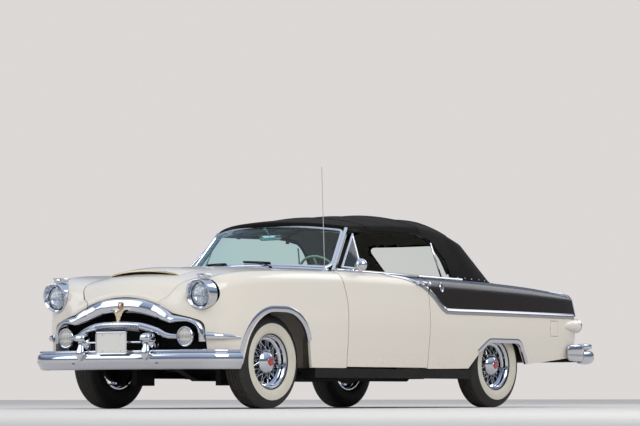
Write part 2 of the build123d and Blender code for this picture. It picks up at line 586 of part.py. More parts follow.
def front_bumper():
    """The front bumper: its blade, two guards with bullets behind them, the plate's bracket and the irons."""
    foot, ridge, top = BUMPER_FRONT_Z
    centre_x, bend_y, radius = aft(-868), 760.0, 3540.0
    bend_x = centre_x - bend_y**2 / (2 * radius)
    end = Vector(aft(-528), BUMPER_HALF, 0)
    corner = Edge.make_tangent_arc(Vector(bend_x, bend_y, 0), Vector(-bend_y / radius, 1, 0), end)
    profile = [(-58, top), (-34, top), (-22, top - 12), (-22, top - 24), (-8, top - 36), (0, ridge + 14), (0, ridge),
               (-14, ridge - 12), (-34, foot), (-58, foot)]
    section = Face(Wire.make_polygon([Vector(centre_x + u, 0, z) for u, z in profile], close=True))
    half = sweep(section, path=Wire([
        Edge.make_three_point_arc(
            Vector(centre_x, 0, 0),
            Vector(centre_x - (bend_y / 2) ** 2 / (2 * radius), bend_y / 2, 0),
            Vector(bend_x, bend_y, 0),
        ),
        corner,
    ]))
    guard = front_prism([(-44, foot + 30), (44, foot + 30), (44, 515), (26, 560), (-26, 560), (-44, 515)], aft(-800), NOSE_REACH)
    guard -= side_prism([(NOSE_REACH - 40, 600), (NOSE_REACH - 6, ridge + 60), (NOSE_REACH, ridge + 20),
                         (NOSE_REACH - 30, foot), (NOSE_REACH + 20, foot), (NOSE_REACH + 20, 600)], -60, 60)
    guard += turned([(0, -80), (46, -80), (59, -40), (56, 6), (40, 34), (0, 46)], (aft(-800), 0, 500), (1, 0, 0))
    iron = block((aft(-700) + SEAM, RAIL_Y + 5, 340), (aft(-830), RAIL_Y + 30, 400))
    bracket = block((aft(-815), 40, top - 20), (aft(-870) - SEAM, 75, 565))
    side = half + Pos(0, GUARD_Y, 0) * guard + iron + bracket
    return side + mirrored(side)


GUARD_Y = 326.0
BUMPER_HALF = 1006.0
NOSE_REACH = FRONT_AXLE + FRONT_OVERHANG
TAIL_REACH = REAR_AXLE - REAR_OVERHANG


def rear_bumper():
    """The rear bumper's blade, curved round the tail, with its irons."""
    foot, top = 385.0, 545.0
    centre_x, bend_y, radius = TAIL_REACH, 700.0, 6000.0
    bend_x = centre_x + bend_y**2 / (2 * radius)
    lean = bend_y / radius
    end = Vector(aft(4300), 965, 0)
    corner = Edge.make_tangent_arc(Vector(bend_x, bend_y, 0), Vector(lean, 1, 0), end)
    profile = [(58, top - 20), (30, top), (8, top - 30), (0, (foot + top) / 2), (14, foot + 14), (58, foot)]
    points = [Vector(centre_x + u, 0, z) for u, z in profile]
    section = Face(Wire.make_polygon(points, close=True))
    half = sweep(section, path=Wire([
        Edge.make_three_point_arc(
            Vector(centre_x, 0, 0),
            Vector(centre_x + (bend_y / 2) ** 2 / (2 * radius), bend_y / 2, 0),
            Vector(bend_x, bend_y, 0),
        ),
        corner,
    ]))
    iron = block((aft(4620), RAIL_Y + 5, 405), (aft(4420) - SEAM, RAIL_Y + 30, 465))
    side = half + iron
    return side + mirrored(side)


# ---- wheels and what carries them ----
def wheel_piece(x, track):
    """A wire wheel: rim, hub and crossed spokes, with the brake drum behind them, on the left side."""
    mid = track / 2
    centre = Vector(x, mid, TYRE_RADIUS)
    half = RIM_WIDTH / 2
    rim = turned([
        (RIM_RADIUS, half), (RIM_RADIUS, half - 12), (RIM_RADIUS - 14, half - 16), (RIM_RADIUS - 16, half - 40),
        (RIM_RADIUS - 34, half - 48), (RIM_RADIUS - 34, -half + 48), (RIM_RADIUS - 16, -half + 40),
        (RIM_RADIUS - 14, -half + 16), (RIM_RADIUS, -half + 12), (RIM_RADIUS, -half), (RIM_RADIUS - 7, -half),
        (RIM_RADIUS - 19, -half + 14), (RIM_RADIUS - 21, -half + 44), (RIM_RADIUS - 39, -half + 52),
        (RIM_RADIUS - 39, half - 52), (RIM_RADIUS - 21, half - 44), (RIM_RADIUS - 19, half - 14), (RIM_RADIUS - 7, half),
    ], centre, (0, 1, 0))
    hub = turned([
        (0, half + 6), (34, half + 4), (HUB_RADIUS - 20, half - 12), (HUB_RADIUS, half - 28), (HUB_RADIUS, half - 40),
        (60, half - 44), (60, -20), (DRUM_RADIUS - 4, -22), (DRUM_RADIUS, -30), (DRUM_RADIUS, -78),
        (SPINDLE_RADIUS + 1, -78), (SPINDLE_RADIUS + 1, 30), (0, 30),
    ], centre, (0, 1, 0))
    wheel = rim + hub
    for number in range(SPOKES):
        angle = 360.0 * number / SPOKES
        lean = 14.0 if number % 2 else -14.0
        front = number % 4 < 2
        y_hub, y_rim = (half - 34, half - 62) if front else (4, -6)
        r_hub = HUB_RADIUS - 4 if front else 58.0
        a, b = radians(angle), radians(angle + lean)
        start = centre + Vector(r_hub * sin(a), y_hub, r_hub * cos(a))
        end = centre + Vector((RIM_RADIUS - 35) * sin(b), y_rim, (RIM_RADIUS - 35) * cos(b))
        wheel += rod(start, end, SPOKE_RADIUS)
    return wheel


def tyre_piece(x, track):
    """A tyre on the left side, with flat beads on the rim."""
    mid = track / 2
    half, bead = TYRE_WIDTH / 2, RIM_WIDTH / 2 - 12.5
    r = TYRE_RADIUS
    return turned([
        (RIM_RADIUS + SEAM, bead + 12), (RIM_RADIUS + 22, half - 6), (r - 70, half), (r - 34, half - 6),
        (r - 8, half - 26), (r, half - 44), (r, -half + 44), (r - 8, -half + 26), (r - 34, -half + 6),
        (r - 70, -half), (RIM_RADIUS + 22, -half + 6), (RIM_RADIUS + SEAM, -bead - 12),
        (RIM_RADIUS + SEAM, -bead), (RIM_RADIUS - 14 + SEAM, -bead + 4), (RIM_RADIUS - 14 + SEAM, -bead + 16),
        (RIM_RADIUS + 30, -bead + 2), (r - 20, -half + 30), (r - 20, half - 30), (RIM_RADIUS + 30, bead - 2),
        (RIM_RADIUS - 14 + SEAM, bead - 16), (RIM_RADIUS - 14 + SEAM, bead - 4), (RIM_RADIUS + SEAM, bead),
    ], Vector(x, mid, TYRE_RADIUS), (0, 1, 0))


def knuckle_piece():
    """The left knuckle: backing plate, upright and spindle."""
    mid = FRONT_TRACK / 2
    centre = Vector(FRONT_AXLE, mid, TYRE_RADIUS)
    plate = turned([(0, -96), (DRUM_RADIUS + 6, -96), (DRUM_RADIUS + 6, -84), (0, -84)], centre, (0, 1, 0))
    upright = block(
        (FRONT_AXLE - 30, KINGPIN_Y - 22, TYRE_RADIUS - ARM_REACH), (FRONT_AXLE + 30, KINGPIN_Y + 24, TYRE_RADIUS + ARM_REACH)
    )
    arm = block((FRONT_AXLE - 150, KINGPIN_Y - 12, TYRE_RADIUS - 60), (FRONT_AXLE, KINGPIN_Y + 8, TYRE_RADIUS - 35))
    pin = rod((FRONT_AXLE, KINGPIN_Y, TYRE_RADIUS - ARM_REACH - 18), (FRONT_AXLE, KINGPIN_Y, TYRE_RADIUS + ARM_REACH + 18), 9)
    return plate + upright + arm + pin + rod((FRONT_AXLE, KINGPIN_Y, TYRE_RADIUS), (FRONT_AXLE, mid + 24, TYRE_RADIUS), SPINDLE_RADIUS)


def front_arms():
    """Upper and lower arms of the front suspension with their springs, left and right."""
    sides = []
    for z, reach in ((TYRE_RADIUS - ARM_REACH - 12 - SEAM, 105), (TYRE_RADIUS + ARM_REACH + SEAM, 105)):
        arm = plan_prism([
            (FRONT_AXLE - reach, RAIL_Y + RAIL_WIDTH + SEAM), (FRONT_AXLE + reach, RAIL_Y + RAIL_WIDTH + SEAM),
            (FRONT_AXLE + 26, KINGPIN_Y + 16), (FRONT_AXLE - 26, KINGPIN_Y + 16),
        ], z, z + 12)
        arm -= rod((FRONT_AXLE, KINGPIN_Y, z - 5), (FRONT_AXLE, KINGPIN_Y, z + 17), 9 + RUNNING)
        sides.append(arm)
    return sides


def rear_axle_piece():
    """The rear axle: its tube, the differential's housing and the brake backing plates."""
    centre = Vector(REAR_AXLE, 0, TYRE_RADIUS)
    end = REAR_TRACK / 2 - 84
    axle = turned([(0, -end), (38, -end), (38, end), (0, end)], centre, (0, 1, 0))
    axle += Pos(*centre) * Sphere(118)
    axle += rod((REAR_AXLE, 0, TYRE_RADIUS), (REAR_AXLE + 260, 0, TYRE_RADIUS), 52)
    for side in (1, -1):
        plate = turned([(0, -12), (DRUM_RADIUS + 6, -12), (DRUM_RADIUS + 6, 0), (0, 0)],
                       Vector(REAR_AXLE, side * end, TYRE_RADIUS), (0, side, 0))
        axle += plate
        stub = rod((REAR_AXLE, side * (end - 5), TYRE_RADIUS), (REAR_AXLE, side * (REAR_TRACK / 2 + 24), TYRE_RADIUS), SPINDLE_RADIUS)
        axle += stub
    return axle


def leaf_spring():
    """The left leaf spring, hung under the rail's outer side."""
    y0, y1 = RAIL_Y + RAIL_WIDTH + 60, RAIL_Y + RAIL_WIDTH + 115
    axle_top = TYRE_RADIUS + 38 + SEAM
    line = [(past(-700), 262), (past(-300), axle_top - 26), (past(0), axle_top), (past(300), axle_top + 6), (past(700), 440)]
    outline = [(x, z) for x, z in line] + [(x, z + 30) for x, z in reversed(line)]
    spring = side_prism(outline, y0, y1)
    for x, z in ((past(-680), 284), (past(690), 452)):
        spring += block((x - 25, RAIL_Y + RAIL_WIDTH + SEAM, z - 20), (x + 25, y1, z + 20))
    return spring


# ---- the engine and what follows it ----
def engine_piece():
    """The engine as one plain block, resting on the frame's front crossmember."""
    block_part = block((aft(500), -130, 560), (aft(-440), 130, 930))
    sump = block((aft(440), -110, 415 + SEAM), (aft(-400), 110, 562))
    return block_part + sump


def transmission_piece():
    """The gearbox behind the engine and the shaft to the rear axle."""
    x0, x1, x2 = aft(500 + SEAM), aft(950), aft(1150)
    line_z = 430.0
    box = turned([(0, 0), (140, 0), (140, 120), (95, 200), (85, x0 - x1), (0, x0 - x1)], (x0, 0, line_z), (-1, 0, 0))
    pinion = (REAR_AXLE + 260 + SEAM + 1.0, 0, TYRE_RADIUS)
    return box + rod((x1 + 5, 0, line_z - 26), pinion, 38)


# ---- the cabin ----
def dashboard_piece():
    """The dashboard across the cabin, from door to door."""
    front = COWL_REAR_X - SEAM
    outline = [(front, 1092), (aft(1000), 1096), (aft(1040), 1070), (aft(1030), 958), (front, 932)]
    half = CABIN_HALF_WIDTH - 32
    hanger = block((aft(1012), 362, 895), (aft(986), 438, 960))
    start, end = STEERING_CENTRE, STEERING_CENTRE - STEERING_WAY * 400
    return side_prism(outline, -half, half) + hanger - rod(start, end, COLUMN_RADIUS + SEAM)


def seat_piece(front_x, cushion_z, back_x, back_top, half, foot_z, lean):
    """A bench seat: cushion, back and base."""
    depth = 150.0
    cushion = side_prism([(front_x, foot_z), (front_x + 0, cushion_z - 20), (front_x - 40, cushion_z),
                          (back_x, cushion_z - 30), (back_x, foot_z)], -half, half)
    back = side_prism([(back_x + 60, cushion_z - 60), (back_x + 60 - lean, back_top - 30), (back_x + 30 - lean, back_top),
                       (back_x - depth + 80 - lean, back_top - 20), (back_x - depth + 100, foot_z), (back_x, foot_z)], -half, half)
    tunnel = block((COWL_REAR_X - 45, -TUNNEL_HALF - 12 - SEAM, LOW), (aft(2640), TUNNEL_HALF + 12 + SEAM, TUNNEL_TOP_Z + 12 + SEAM))
    return cushion + back - tunnel


def steering_wheel_piece():
    """The steering wheel with its hub and three spokes."""
    centre, way = STEERING_CENTRE, STEERING_WAY
    plane = Plane(origin=centre, z_dir=way)
    ring = Plane(
        origin=centre + plane.x_dir * (STEERING_WHEEL_RADIUS - 12), x_dir=plane.x_dir, z_dir=plane.y_dir
    )
    rim = revolve(ring * RegularPolygon(12, 10), Axis(centre, way), 360)
    hub = plane * Cylinder(45, 40)
    wheel = rim + hub
    for angle in (90, 210, 330):
        a = radians(angle)
        out = plane.from_local_coords(Vector((STEERING_WHEEL_RADIUS - 12) * cos(a), (STEERING_WHEEL_RADIUS - 12) * sin(a), 0))
        wheel += rod(centre + (out - centre) * 0.15, out, 9)
    return wheel


def steering_column_piece():
    """The steering column, from below the wheel's hub to the firewall."""
    start = STEERING_CENTRE - STEERING_WAY * (20 + SEAM)
    length = (COWL_FRONT[1] - GAP - SKIN - start.X) / -STEERING_WAY.X
    return rod(start, start - STEERING_WAY * length, COLUMN_RADIUS)


COLUMN_RADIUS = 24.0
STEERING_WAY = Vector(-cos(radians(STEERING_RAKE)), 0, sin(radians(STEERING_RAKE)))
STEERING_CENTRE = Vector(aft(1247), 400, 1049)


# ---- windshield and soft top ----
GLASS_FOOT = ((aft(690.0), 0.0), (aft(905.0), 775.0), 1080.0)  # plan of the glass at its foot: middle, corner, height
GLASS_HEAD = ((aft(1035.0), 0.0), (aft(1236.0), 668.0), 1500.0)
HEADER_Z = 1478.0


def glass_sheet(before, behind, side_in, foot_up, head_down):
    """A slab that follows the windshield's surface, between offsets ahead of it and behind it."""
    faces = []
    (fx, _), (fcx, fcy), fz = GLASS_FOOT
    (hx, _), (hcx, hcy), hz = GLASS_HEAD
    for z in (fz + foot_up, hz - head_down):
        share = (z - fz) / (hz - fz)
        mid_x = fx + (hx - fx) * share
        corner_x, corner_y = fcx + (hcx - fcx) * share, fcy + (hcy - fcy) * share
        ratio = (corner_y - side_in) / corner_y
        corner_x = mid_x + (corner_x - mid_x) * ratio**2
        corner_y -= side_in
        front = Edge.make_three_point_arc(
            Vector(corner_x + before, corner_y, z), Vector(mid_x + before, 0, z), Vector(corner_x + before, -corner_y, z))
        back = Edge.make_three_point_arc(
            Vector(corner_x - behind, -corner_y, z), Vector(mid_x - behind, 0, z), Vector(corner_x - behind, corner_y, z))
        faces.append(Face(Wire([
            front, Edge.make_line(front @ 1, back @ 0), back, Edge.make_line(back @ 1, front @ 0)])))
    return loft(faces, ruled=True)


def windshield_frame(outer):
    """The chrome frame round the windshield, with the header and the inside mirror."""
    frame = glass_sheet(16, 26, 0, 0, 12) - outer
    frame -= glass_sheet(60, 80, 38, 78, 44)
    stem = rod((aft(1062), 0, 1452), (aft(1094), 0, 1400), 7)
    mirror_body = block((aft(1098), -110, 1355), (aft(1078), 110, 1412))
    return max((frame + stem + mirror_body).solids(), key=lambda solid: solid.volume)


TOP_SECTIONS = (  # distance behind the front axle, crown height, half width at the crown's edge, its height, half width at the foot
    (900.0, 1500.0, 640.0, 1440.0, 745.0),
    (1350.0, 1556.0, 668.0, 1478.0, 755.0),
    (2050.0, 1606.0, 680.0, 1520.0, 765.0),
    (2442.0, 1624.0, 680.0, 1535.0, 768.0),
    (3066.0, 1612.0, 664.0, 1518.0, 760.0),
    (3635.0, 1458.0, 600.0, 1380.0, 700.0),
    (3832.0, 1040.0, 520.0, 1025.0, 560.0),
)
TOP_FOOT_Z = 1000.0
TOP_OPENING = ((1150.0, 900.0), (1262.0, 1440.0), (2100.0, 1448.0), (2380.0, 1400.0), (2560.0, 1240.0), (2650.0, 900.0))


def top_form(inset):
    """The soft top as one solid, stretched between its bows and drawn in by inset."""
    faces = []
    for number, (d, crown, y_edge, z_edge, y_foot) in enumerate(TOP_SECTIONS):
        x = aft(d) + (inset if number == len(TOP_SECTIONS) - 1 else 0)
        crown, z_edge = crown - inset, z_edge - inset
        y_edge, y_foot = y_edge - inset, y_foot - inset
        top = Edge.make_three_point_arc(Vector(x, y_edge, z_edge), Vector(x, 0, crown), Vector(x, -y_edge, z_edge))
        faces.append(Face(Wire([
            top,
            Edge.make_line(Vector(x, -y_edge, z_edge), Vector(x, -y_foot, TOP_FOOT_Z)),
            Edge.make_line(Vector(x, -y_foot, TOP_FOOT_Z), Vector(x, y_foot, TOP_FOOT_Z)),
            Edge.make_line(Vector(x, y_foot, TOP_FOOT_Z), Vector(x, y_edge, z_edge)),
        ])))
    return loft(faces, ruled=True)


def soft_top(outer, frame):
    """The soft top: a padded cloth shell, open at the windshield, at the sides and below."""
    top = top_form(0) - top_form(PAD)
    top -= outer
    top -= glass_sheet(600, 20, -60, -100, -200)
    top -= frame
    opening = [(aft(d), z) for d, z in TOP_OPENING]
    top -= side_prism(opening, -900, 900)
    top -= block((aft(1700), -900, 900), (aft(600), 900, 1430))
    return max(top.solids(), key=lambda solid: solid.volume)


# ---- small pieces ----
FUEL_DOOR_GAP = 4.0
PLATE_WIDTH, PLATE_HEIGHT, PLATE_Z = 300.0, 160.0, 500.0
PLATE_SCREWS = (178.0, 121.0)  # across and up, the usual spacing
PLATE_SCREW_RADIUS = 3.5
VENT = (Vector(aft(985), 806, 1122), Vector(aft(1258), 706, 1396), Vector(aft(1226), 818, 1112))
TAIL_LAMP = (TAIL_X, 860.0, 712.0)


def fuel_door(outer, inner):
    """The fuel filler's door in the left quarter."""
    low, high = FUEL_DOOR
    door = outer & block(
        (low[0] + FUEL_DOOR_GAP, 860, low[1] + FUEL_DOOR_GAP), (high[0] - FUEL_DOOR_GAP, 1200, high[1] - FUEL_DOOR_GAP)
    )
    door -= inner
    x, y, z = FUEL_HINGE
    door += block((x - 16, y - 4, z - 9), (x, y + 4, z + 9)) + rod((x, y, z - 9), (x, y, z + 9), 4.5)
    return door - rod((x, y, z - 20), (x, y, z + 20), 2.4)


def vent_frame():
    """The left vent window's frame, with the rail along the top of the door that it stands on."""
    front, top, rear = VENT
    frame = rod(front, top, 9) + rod(top, rear, 7) + rod(rear, front, 7)
    for corner in VENT:
        frame += Pos(*corner) * Sphere(9.5)
    inside = 960 - DOOR_THICKNESS - SEAM
    rail = side_prism([(aft(972), 1062), (aft(972), 1106), (DOOR_REAR_X + 4, 1092), (DOOR_REAR_X + 4, 1050)],
                      inside - 26, inside)
    return frame + rail


def vent_glass():
    """The left vent window's pane."""
    face = Face(Wire.make_polygon([corner + (sum(VENT, Vector(0, 0, 0)) / 3 - corner) * 0.12 for corner in VENT]))
    return extrude(face, amount=2.5, both=True)


def tail_lamp():
    """The left tail lamp: a bullet behind the fender's foot of the fin."""
    return turned([(0, SEAM), (56, SEAM), (58, 40), (52, 90), (44, 120), (30, 150), (0, 165)], TAIL_LAMP, (-1, 0, 0))


def top_bows():
    """The bows under the soft top's cloth."""
    shell = top_form(PAD + SEAM) - top_form(PAD + 22)
    bows = None
    for d in (1480, 2050, 2442, 3066):
        bow = shell & block((aft(d + 22), -900, 1442), (aft(d - 22), 900, 1800))
        bows = bow if bows is None else group(bows, bow)
    return bows


def licence_plate():
    """The blank front plate with its four screw holes."""
    x = aft(-870)
    plate = block((x, -PLATE_WIDTH / 2, PLATE_Z - PLATE_HEIGHT / 2), (x + 4, PLATE_WIDTH / 2, PLATE_Z + PLATE_HEIGHT / 2))
    for y in (-PLATE_SCREWS[0] / 2, PLATE_SCREWS[0] / 2):
        for z in (-PLATE_SCREWS[1] / 2, PLATE_SCREWS[1] / 2):
            plate -= rod((x - 1, y, PLATE_Z + z), (x + 5, y, PLATE_Z + z), PLATE_SCREW_RADIUS)
    return plate


def antenna_piece(outer):
    """The aerial, with the base that holds it on the left front fender."""
    foot = Vector(aft(727), 825, 1060)
    base = turned([(0, 0), (26, 0), (26, 26), (12, 44), (0, 48)], foot, (0, 0, 1)) - outer
    base = Pos(0, 0, SEAM) * base
    return max((base + rod((foot.X, 825, 1090), (aft(690), 825, 1900), 3.0)).solids(), key=lambda solid: solid.volume)


def exhaust_piece():
    """The exhaust: a pipe under the floor with its silencer, out behind the rear bumper's right side."""
    y, z = -265.0, 180.0 + 60
    pipe = tube([(aft(300), y, 440), (aft(620), y, 200 - 30), (aft(2300), y, 200 - 30)], 26, 120)
    return pipe
def headlamp_rim():
    """The left headlamp's visored chrome bezel."""
    ring = turned([(HEADLAMP_RADIUS, -60), (HEADLAMP_RADIUS, 56), (HEADLAMP_RADIUS - 12, 62), (92, 30), (92, -60)],
                  LAMP_PLACE, (1, 0, 0))
    x, y, z = LAMP_PLACE
    cut = side_prism([(x + 5, z - 200), (x + 30, z - 130), (x + 64, z + 130), (x + 200, z + 130), (x + 200, z - 200)],
                     y - 150, y + 150)
    return ring - cut


def lamp_lens(place, radius, depth, crown):
    """A lamp's glass, domed to the front."""
    return turned([(0, -depth), (radius, -depth), (radius, 0), (radius * 0.7, crown * 0.6), (0, crown)], place, (1, 0, 0))


def parking_lamp():
    """The left parking lamp's chrome shell, with the spear that runs round to the wheel."""
    ring = turned([(60, -70), (79, -50), (79, 0), (70, 14), (64, 14), (64, -8), (0, -8), (0, -70)], PARKING_PLACE, (1, 0, 0))
    return ring


def main():
    os.makedirs("parts", exist_ok=True)
    outer, inner = body_form(0), body_form(SKIN)
    proud, back = body_form(-CHROME), body_form(20.0)
    nodes = {}
    nodes["hood"] = hood_panel(outer, inner)
    nodes["cowl"] = cowl_panel(outer, inner)
    nodes["front_fender_left"] = front_fender(outer, inner)
    nodes["door_left"] = door_panel(outer)
    nodes["quarter_left"] = quarter_panel(outer, inner)
    nodes["deck_lid"], nodes["deck_panel"], nodes["tail_panel"] = deck_panels(outer, inner)
    nodes["inner_fenders"] = inner_fenders(inner)
    nodes["grille"] = grille_piece(proud, back)
    nodes["frame"] = frame_piece()
    nodes["floor"] = floor_piece()
    nodes["bulkhead"] = bulkhead_piece(inner)
    nodes["front_bumper"] = front_bumper()
    nodes["rear_bumper"] = rear_bumper()
    nodes["engine"] = engine_piece()
    nodes["transmission"] = transmission_piece()
    nodes["rear_axle"] = rear_axle_piece()
    nodes["leaf_springs"] = pair(leaf_spring())
    nodes["front_arms"] = pair(group(*front_arms()))
    nodes["dashboard"] = dashboard_piece()
    nodes["front_seat"] = seat_piece(aft(1330), 640, aft(1830), 1060, 640, FLOOR_Z + SEAM, 90)
    nodes["rear_seat"] = seat_piece(aft(2110), 660, aft(2619.7), 1010, 560, 560, 60)
    nodes["steering_wheel"] = steering_wheel_piece()
    nodes["steering_column"] = steering_column_piece()
    nodes["windshield_frame"] = windshield_frame(outer)
    nodes["windshield_glass"] = glass_sheet(3, 3, 38 + SEAM, 78 + SEAM, 44 + SEAM) - outer
    nodes["soft_top"] = soft_top(outer, nodes["windshield_frame"])
    nodes["headlamp_rims"] = pair(headlamp_rim())
    nodes["parking_lamps"] = pair(parking_lamp())
    nodes["lamp_lenses"] = pair(group(
        lamp_lens(LAMP_PLACE, 91.7, 30, 28),
        lamp_lens((PARKING_PLACE[0], PARKING_PLACE[1], PARKING_PLACE[2]), 63.7, 7.5, 20),
    ))
    sill = block((aft(2620), CABIN_HALF_WIDTH - 46 + SEAM, SILL_FOOT_Z), (aft(470), 925, FLOOR_Z - 1))
    nodes["sills"] = pair(sill)
    nodes["radiator"] = block((aft(-580), -330 + SEAM, 460 + SEAM), (aft(-520), 330 - SEAM, 800 - SEAM))
    nodes["fuel_tank"] = block((aft(4220), -340, 330), (aft(3560), 340, 520))
    nodes["licence_plate"] = licence_plate()
    nodes["antenna"] = antenna_piece(outer)
    nodes["fuel_door"] = fuel_door(outer, inner)
    nodes["tail_lamps"] = pair(tail_lamp())
    nodes["vent_left"] = vent_frame()
    nodes["vent_glass_left"] = vent_glass() - nodes["vent_left"]
    nodes["top_bows"] = top_bows()
    for side, name in ((1, "left"), (-1, "right")):
        flip = (lambda shape: shape) if side == 1 else mirrored
        nodes["knuckle_" + name] = flip(knuckle_piece())
    front_wheel, rear_wheel = wheel_piece(FRONT_AXLE, FRONT_TRACK), wheel_piece(REAR_AXLE, REAR_TRACK)
    front_tyre, rear_tyre = tyre_piece(FRONT_AXLE, FRONT_TRACK), tyre_piece(REAR_AXLE, REAR_TRACK)
    for name, wheel, tyre in (("front", front_wheel, front_tyre), ("rear", rear_wheel, rear_tyre)):
        nodes[f"wheel_{name}_left"], nodes[f"tyre_{name}_left"] = wheel, tyre
        nodes[f"wheel_{name}_right"], nodes[f"tyre_{name}_right"] = mirrored(wheel), mirrored(tyre)
    for name in ("front_fender", "door", "quarter", "vent", "vent_glass"):
        nodes[name + "_right"] = mirrored(nodes[name + "_left"])
    for name, shape in nodes.items():
        export_step(shape, f"parts/{name}.step")


if __name__ == "__main__":
    main()
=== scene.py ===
from math import atan2, cos, hypot, pi, radians, sin, sqrt, tan

import bmesh
import bpy
from mathutils import Matrix, Quaternion, Vector
from mathutils.bvhtree import BVHTree


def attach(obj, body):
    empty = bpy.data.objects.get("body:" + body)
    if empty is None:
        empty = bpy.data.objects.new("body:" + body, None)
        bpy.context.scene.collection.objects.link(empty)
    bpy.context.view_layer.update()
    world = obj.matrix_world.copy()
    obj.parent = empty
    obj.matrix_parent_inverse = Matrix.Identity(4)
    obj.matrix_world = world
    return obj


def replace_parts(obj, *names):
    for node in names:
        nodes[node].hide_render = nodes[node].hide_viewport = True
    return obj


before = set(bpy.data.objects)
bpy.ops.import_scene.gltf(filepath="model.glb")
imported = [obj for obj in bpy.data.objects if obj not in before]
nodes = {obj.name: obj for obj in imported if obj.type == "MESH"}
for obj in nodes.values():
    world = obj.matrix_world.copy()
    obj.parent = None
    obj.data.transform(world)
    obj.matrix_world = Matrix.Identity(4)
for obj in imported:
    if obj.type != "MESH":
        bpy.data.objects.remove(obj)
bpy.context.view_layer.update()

# the car's own places, in metres
FRONT_AXLE = 1.885
REAR_AXLE = FRONT_AXLE - 3.099
TYRE_RADIUS = 0.360
TYRE_WIDTH = 0.212
RIM_WIDTH = 0.166
FRONT_TRACK = 1.528
REAR_TRACK = 1.544
SIDES = (("left", 1), ("right", -1))
AHEAD, LEFT, UP = Vector((1, 0, 0)), Vector((0, 1, 0)), Vector((0, 0, 1))


def car(ahead, left, up):
    """A point given in millimetres: ahead of the front axle, to the left and up."""
    return Vector((FRONT_AXLE + ahead / 1000, left / 1000, up / 1000))


# shader maths
class Value:
    """One output of a shader node, which takes part in Python's own arithmetic."""

    def __init__(self, shader, socket):
        self.shader, self.socket = shader, socket

    def _math(self, operation, *others, clamp=False):
        return self.shader.node("ShaderNodeMath", {"operation": operation, "use_clamp": clamp}, *others)

    def __add__(self, other):
        return self._math("ADD", self, other)

    __radd__ = __add__

    def __mul__(self, other):
        return self._math("MULTIPLY", self, other)

    __rmul__ = __mul__

    def __sub__(self, other):
        return self._math("SUBTRACT", self, other)

    def __rsub__(self, other):
        return self._math("SUBTRACT", other, self)

    def above(self, other):
        return self._math("GREATER_THAN", self, other)

    def below(self, other):
        return self._math("LESS_THAN", self, other)

    def sine(self):
        return self._math("SINE", self)

    def between(self, low, high):
        """0 below low, 1 above high and straight between them."""
        return self.shader.node("ShaderNodeMapRange", {"clamp": True}, self, low, high, 0.0, 1.0)


class Shader:
    """A material built from nodes."""

    def __init__(self, name):
        self.material = bpy.data.materials.new(name)
        self.material.use_nodes = True
        self.tree = self.material.node_tree
        self.tree.nodes.clear()
        self.output = self.tree.nodes.new("ShaderNodeOutputMaterial")
        self.place = None

    def node(self, kind, settings=None, *values, out=0, **named):
        """A node of this kind, with its settings, then its sockets' values or links in order or by name."""
        node = self.tree.nodes.new(kind)
        for key, setting in (settings or {}).items():
            setattr(node, key, setting)
        pairs = list(enumerate(values)) + [(key.replace("_", " "), value) for key, value in named.items()]
        for key, value in pairs:
            socket = node.inputs[key]
            if isinstance(value, Value):
                self.tree.links.new(value.socket, socket)
            elif value is not None:
                if hasattr(socket.default_value, "__len__") and not hasattr(value, "__len__"):
                    value = (value,) * len(socket.default_value)
                if hasattr(value, "__len__") and len(value) == 3 and len(socket.default_value) == 4:
                    value = (*value, 1.0)
                socket.default_value = value
        return Value(self, node.outputs[out])

    def spot(self):
        """Where a point lies on the car, in metres."""
        if self.place is None:
            self.place = self.node("ShaderNodeTexCoord", out="Object")
        return self.place

    def axes(self):
        """The three coordinates of a point on the car."""
        split = self.tree.nodes.new("ShaderNodeSeparateXYZ")
        self.tree.links.new(self.spot().socket, split.inputs[0])
        return [Value(self, split.outputs[n]) for n in range(3)]

    def noise(self, scale, detail=3.0, roughness=0.5, stretch=None):
        spot = self.spot()
        if stretch:
            spot = self.node("ShaderNodeVectorMath", {"operation": "MULTIPLY"}, spot, stretch)
        return self.node("ShaderNodeTexNoise", None, Vector=spot, Scale=scale, Detail=detail,
            Roughness=roughness, out="Fac")

    def mix(self, share, first, second):
        """A colour between two others."""
        node = self.tree.nodes.new("ShaderNodeMix")
        node.data_type = "RGBA"
        for socket, value in ((node.inputs[0], share), (node.inputs[6], first), (node.inputs[7], second)):
            if isinstance(value, Value):
                self.tree.links.new(value.socket, socket)
            else:
                socket.default_value = value if isinstance(value, float) else (*value[:3], 1.0)
        return Value(self, node.outputs[2])

    def bump(self, height, distance, strength=1.0):
        return self.node("ShaderNodeBump", None, Strength=strength, Distance=distance, Height=height)

    def close(self, surface):
        """Ends the material in this surface."""
        self.tree.links.new(surface.socket, self.output.inputs["Surface"])
        return self.material

    def finish(self, **sockets):
        """Ends the material in one principled surface."""
        return self.close(self.node("ShaderNodeBsdfPrincipled", None, **sockets))

    def clear(self, share, tint, shine, **gloss):
        """Ends the material as clear glass, whose outer face has gloss by this share."""
        see = self.node("ShaderNodeBsdfTransparent", None, Color=(*tint, 1.0))
        bright = self.node("ShaderNodeBsdfGlossy", None, Color=(*shine, 1.0), **gloss)
        inside = self.node("ShaderNodeNewGeometry", out="Backfacing")
        return self.close(self.node("ShaderNodeMixShader", None, share * (1.0 - inside), see, bright))


def plain(name, noise, first, second, roughness, relief=None, contrast=None, spread=0.0, **sockets):
    """A finish of two tones mixed by a noise, which may also spread its roughness and raise its relief."""
    s = Shader(name)
    grain = s.noise(*noise)
    share = grain.between(*contrast[:2]) * contrast[2] if contrast else grain
    if spread:
        roughness = grain * spread + roughness
    if relief:
        sockets["Normal"] = s.bump(grain, *relief)
    return s.finish(Base_Color=s.mix(share, first, second), Roughness=roughness, **sockets)


def dust(shader, height=0.45):
    """Road dust: strongest low down on the car."""
    low = 1.0 - shader.axes()[2].between(0.18, height)
    return low * shader.noise(9.0, 5.0, 0.6).between(0.35, 0.75)


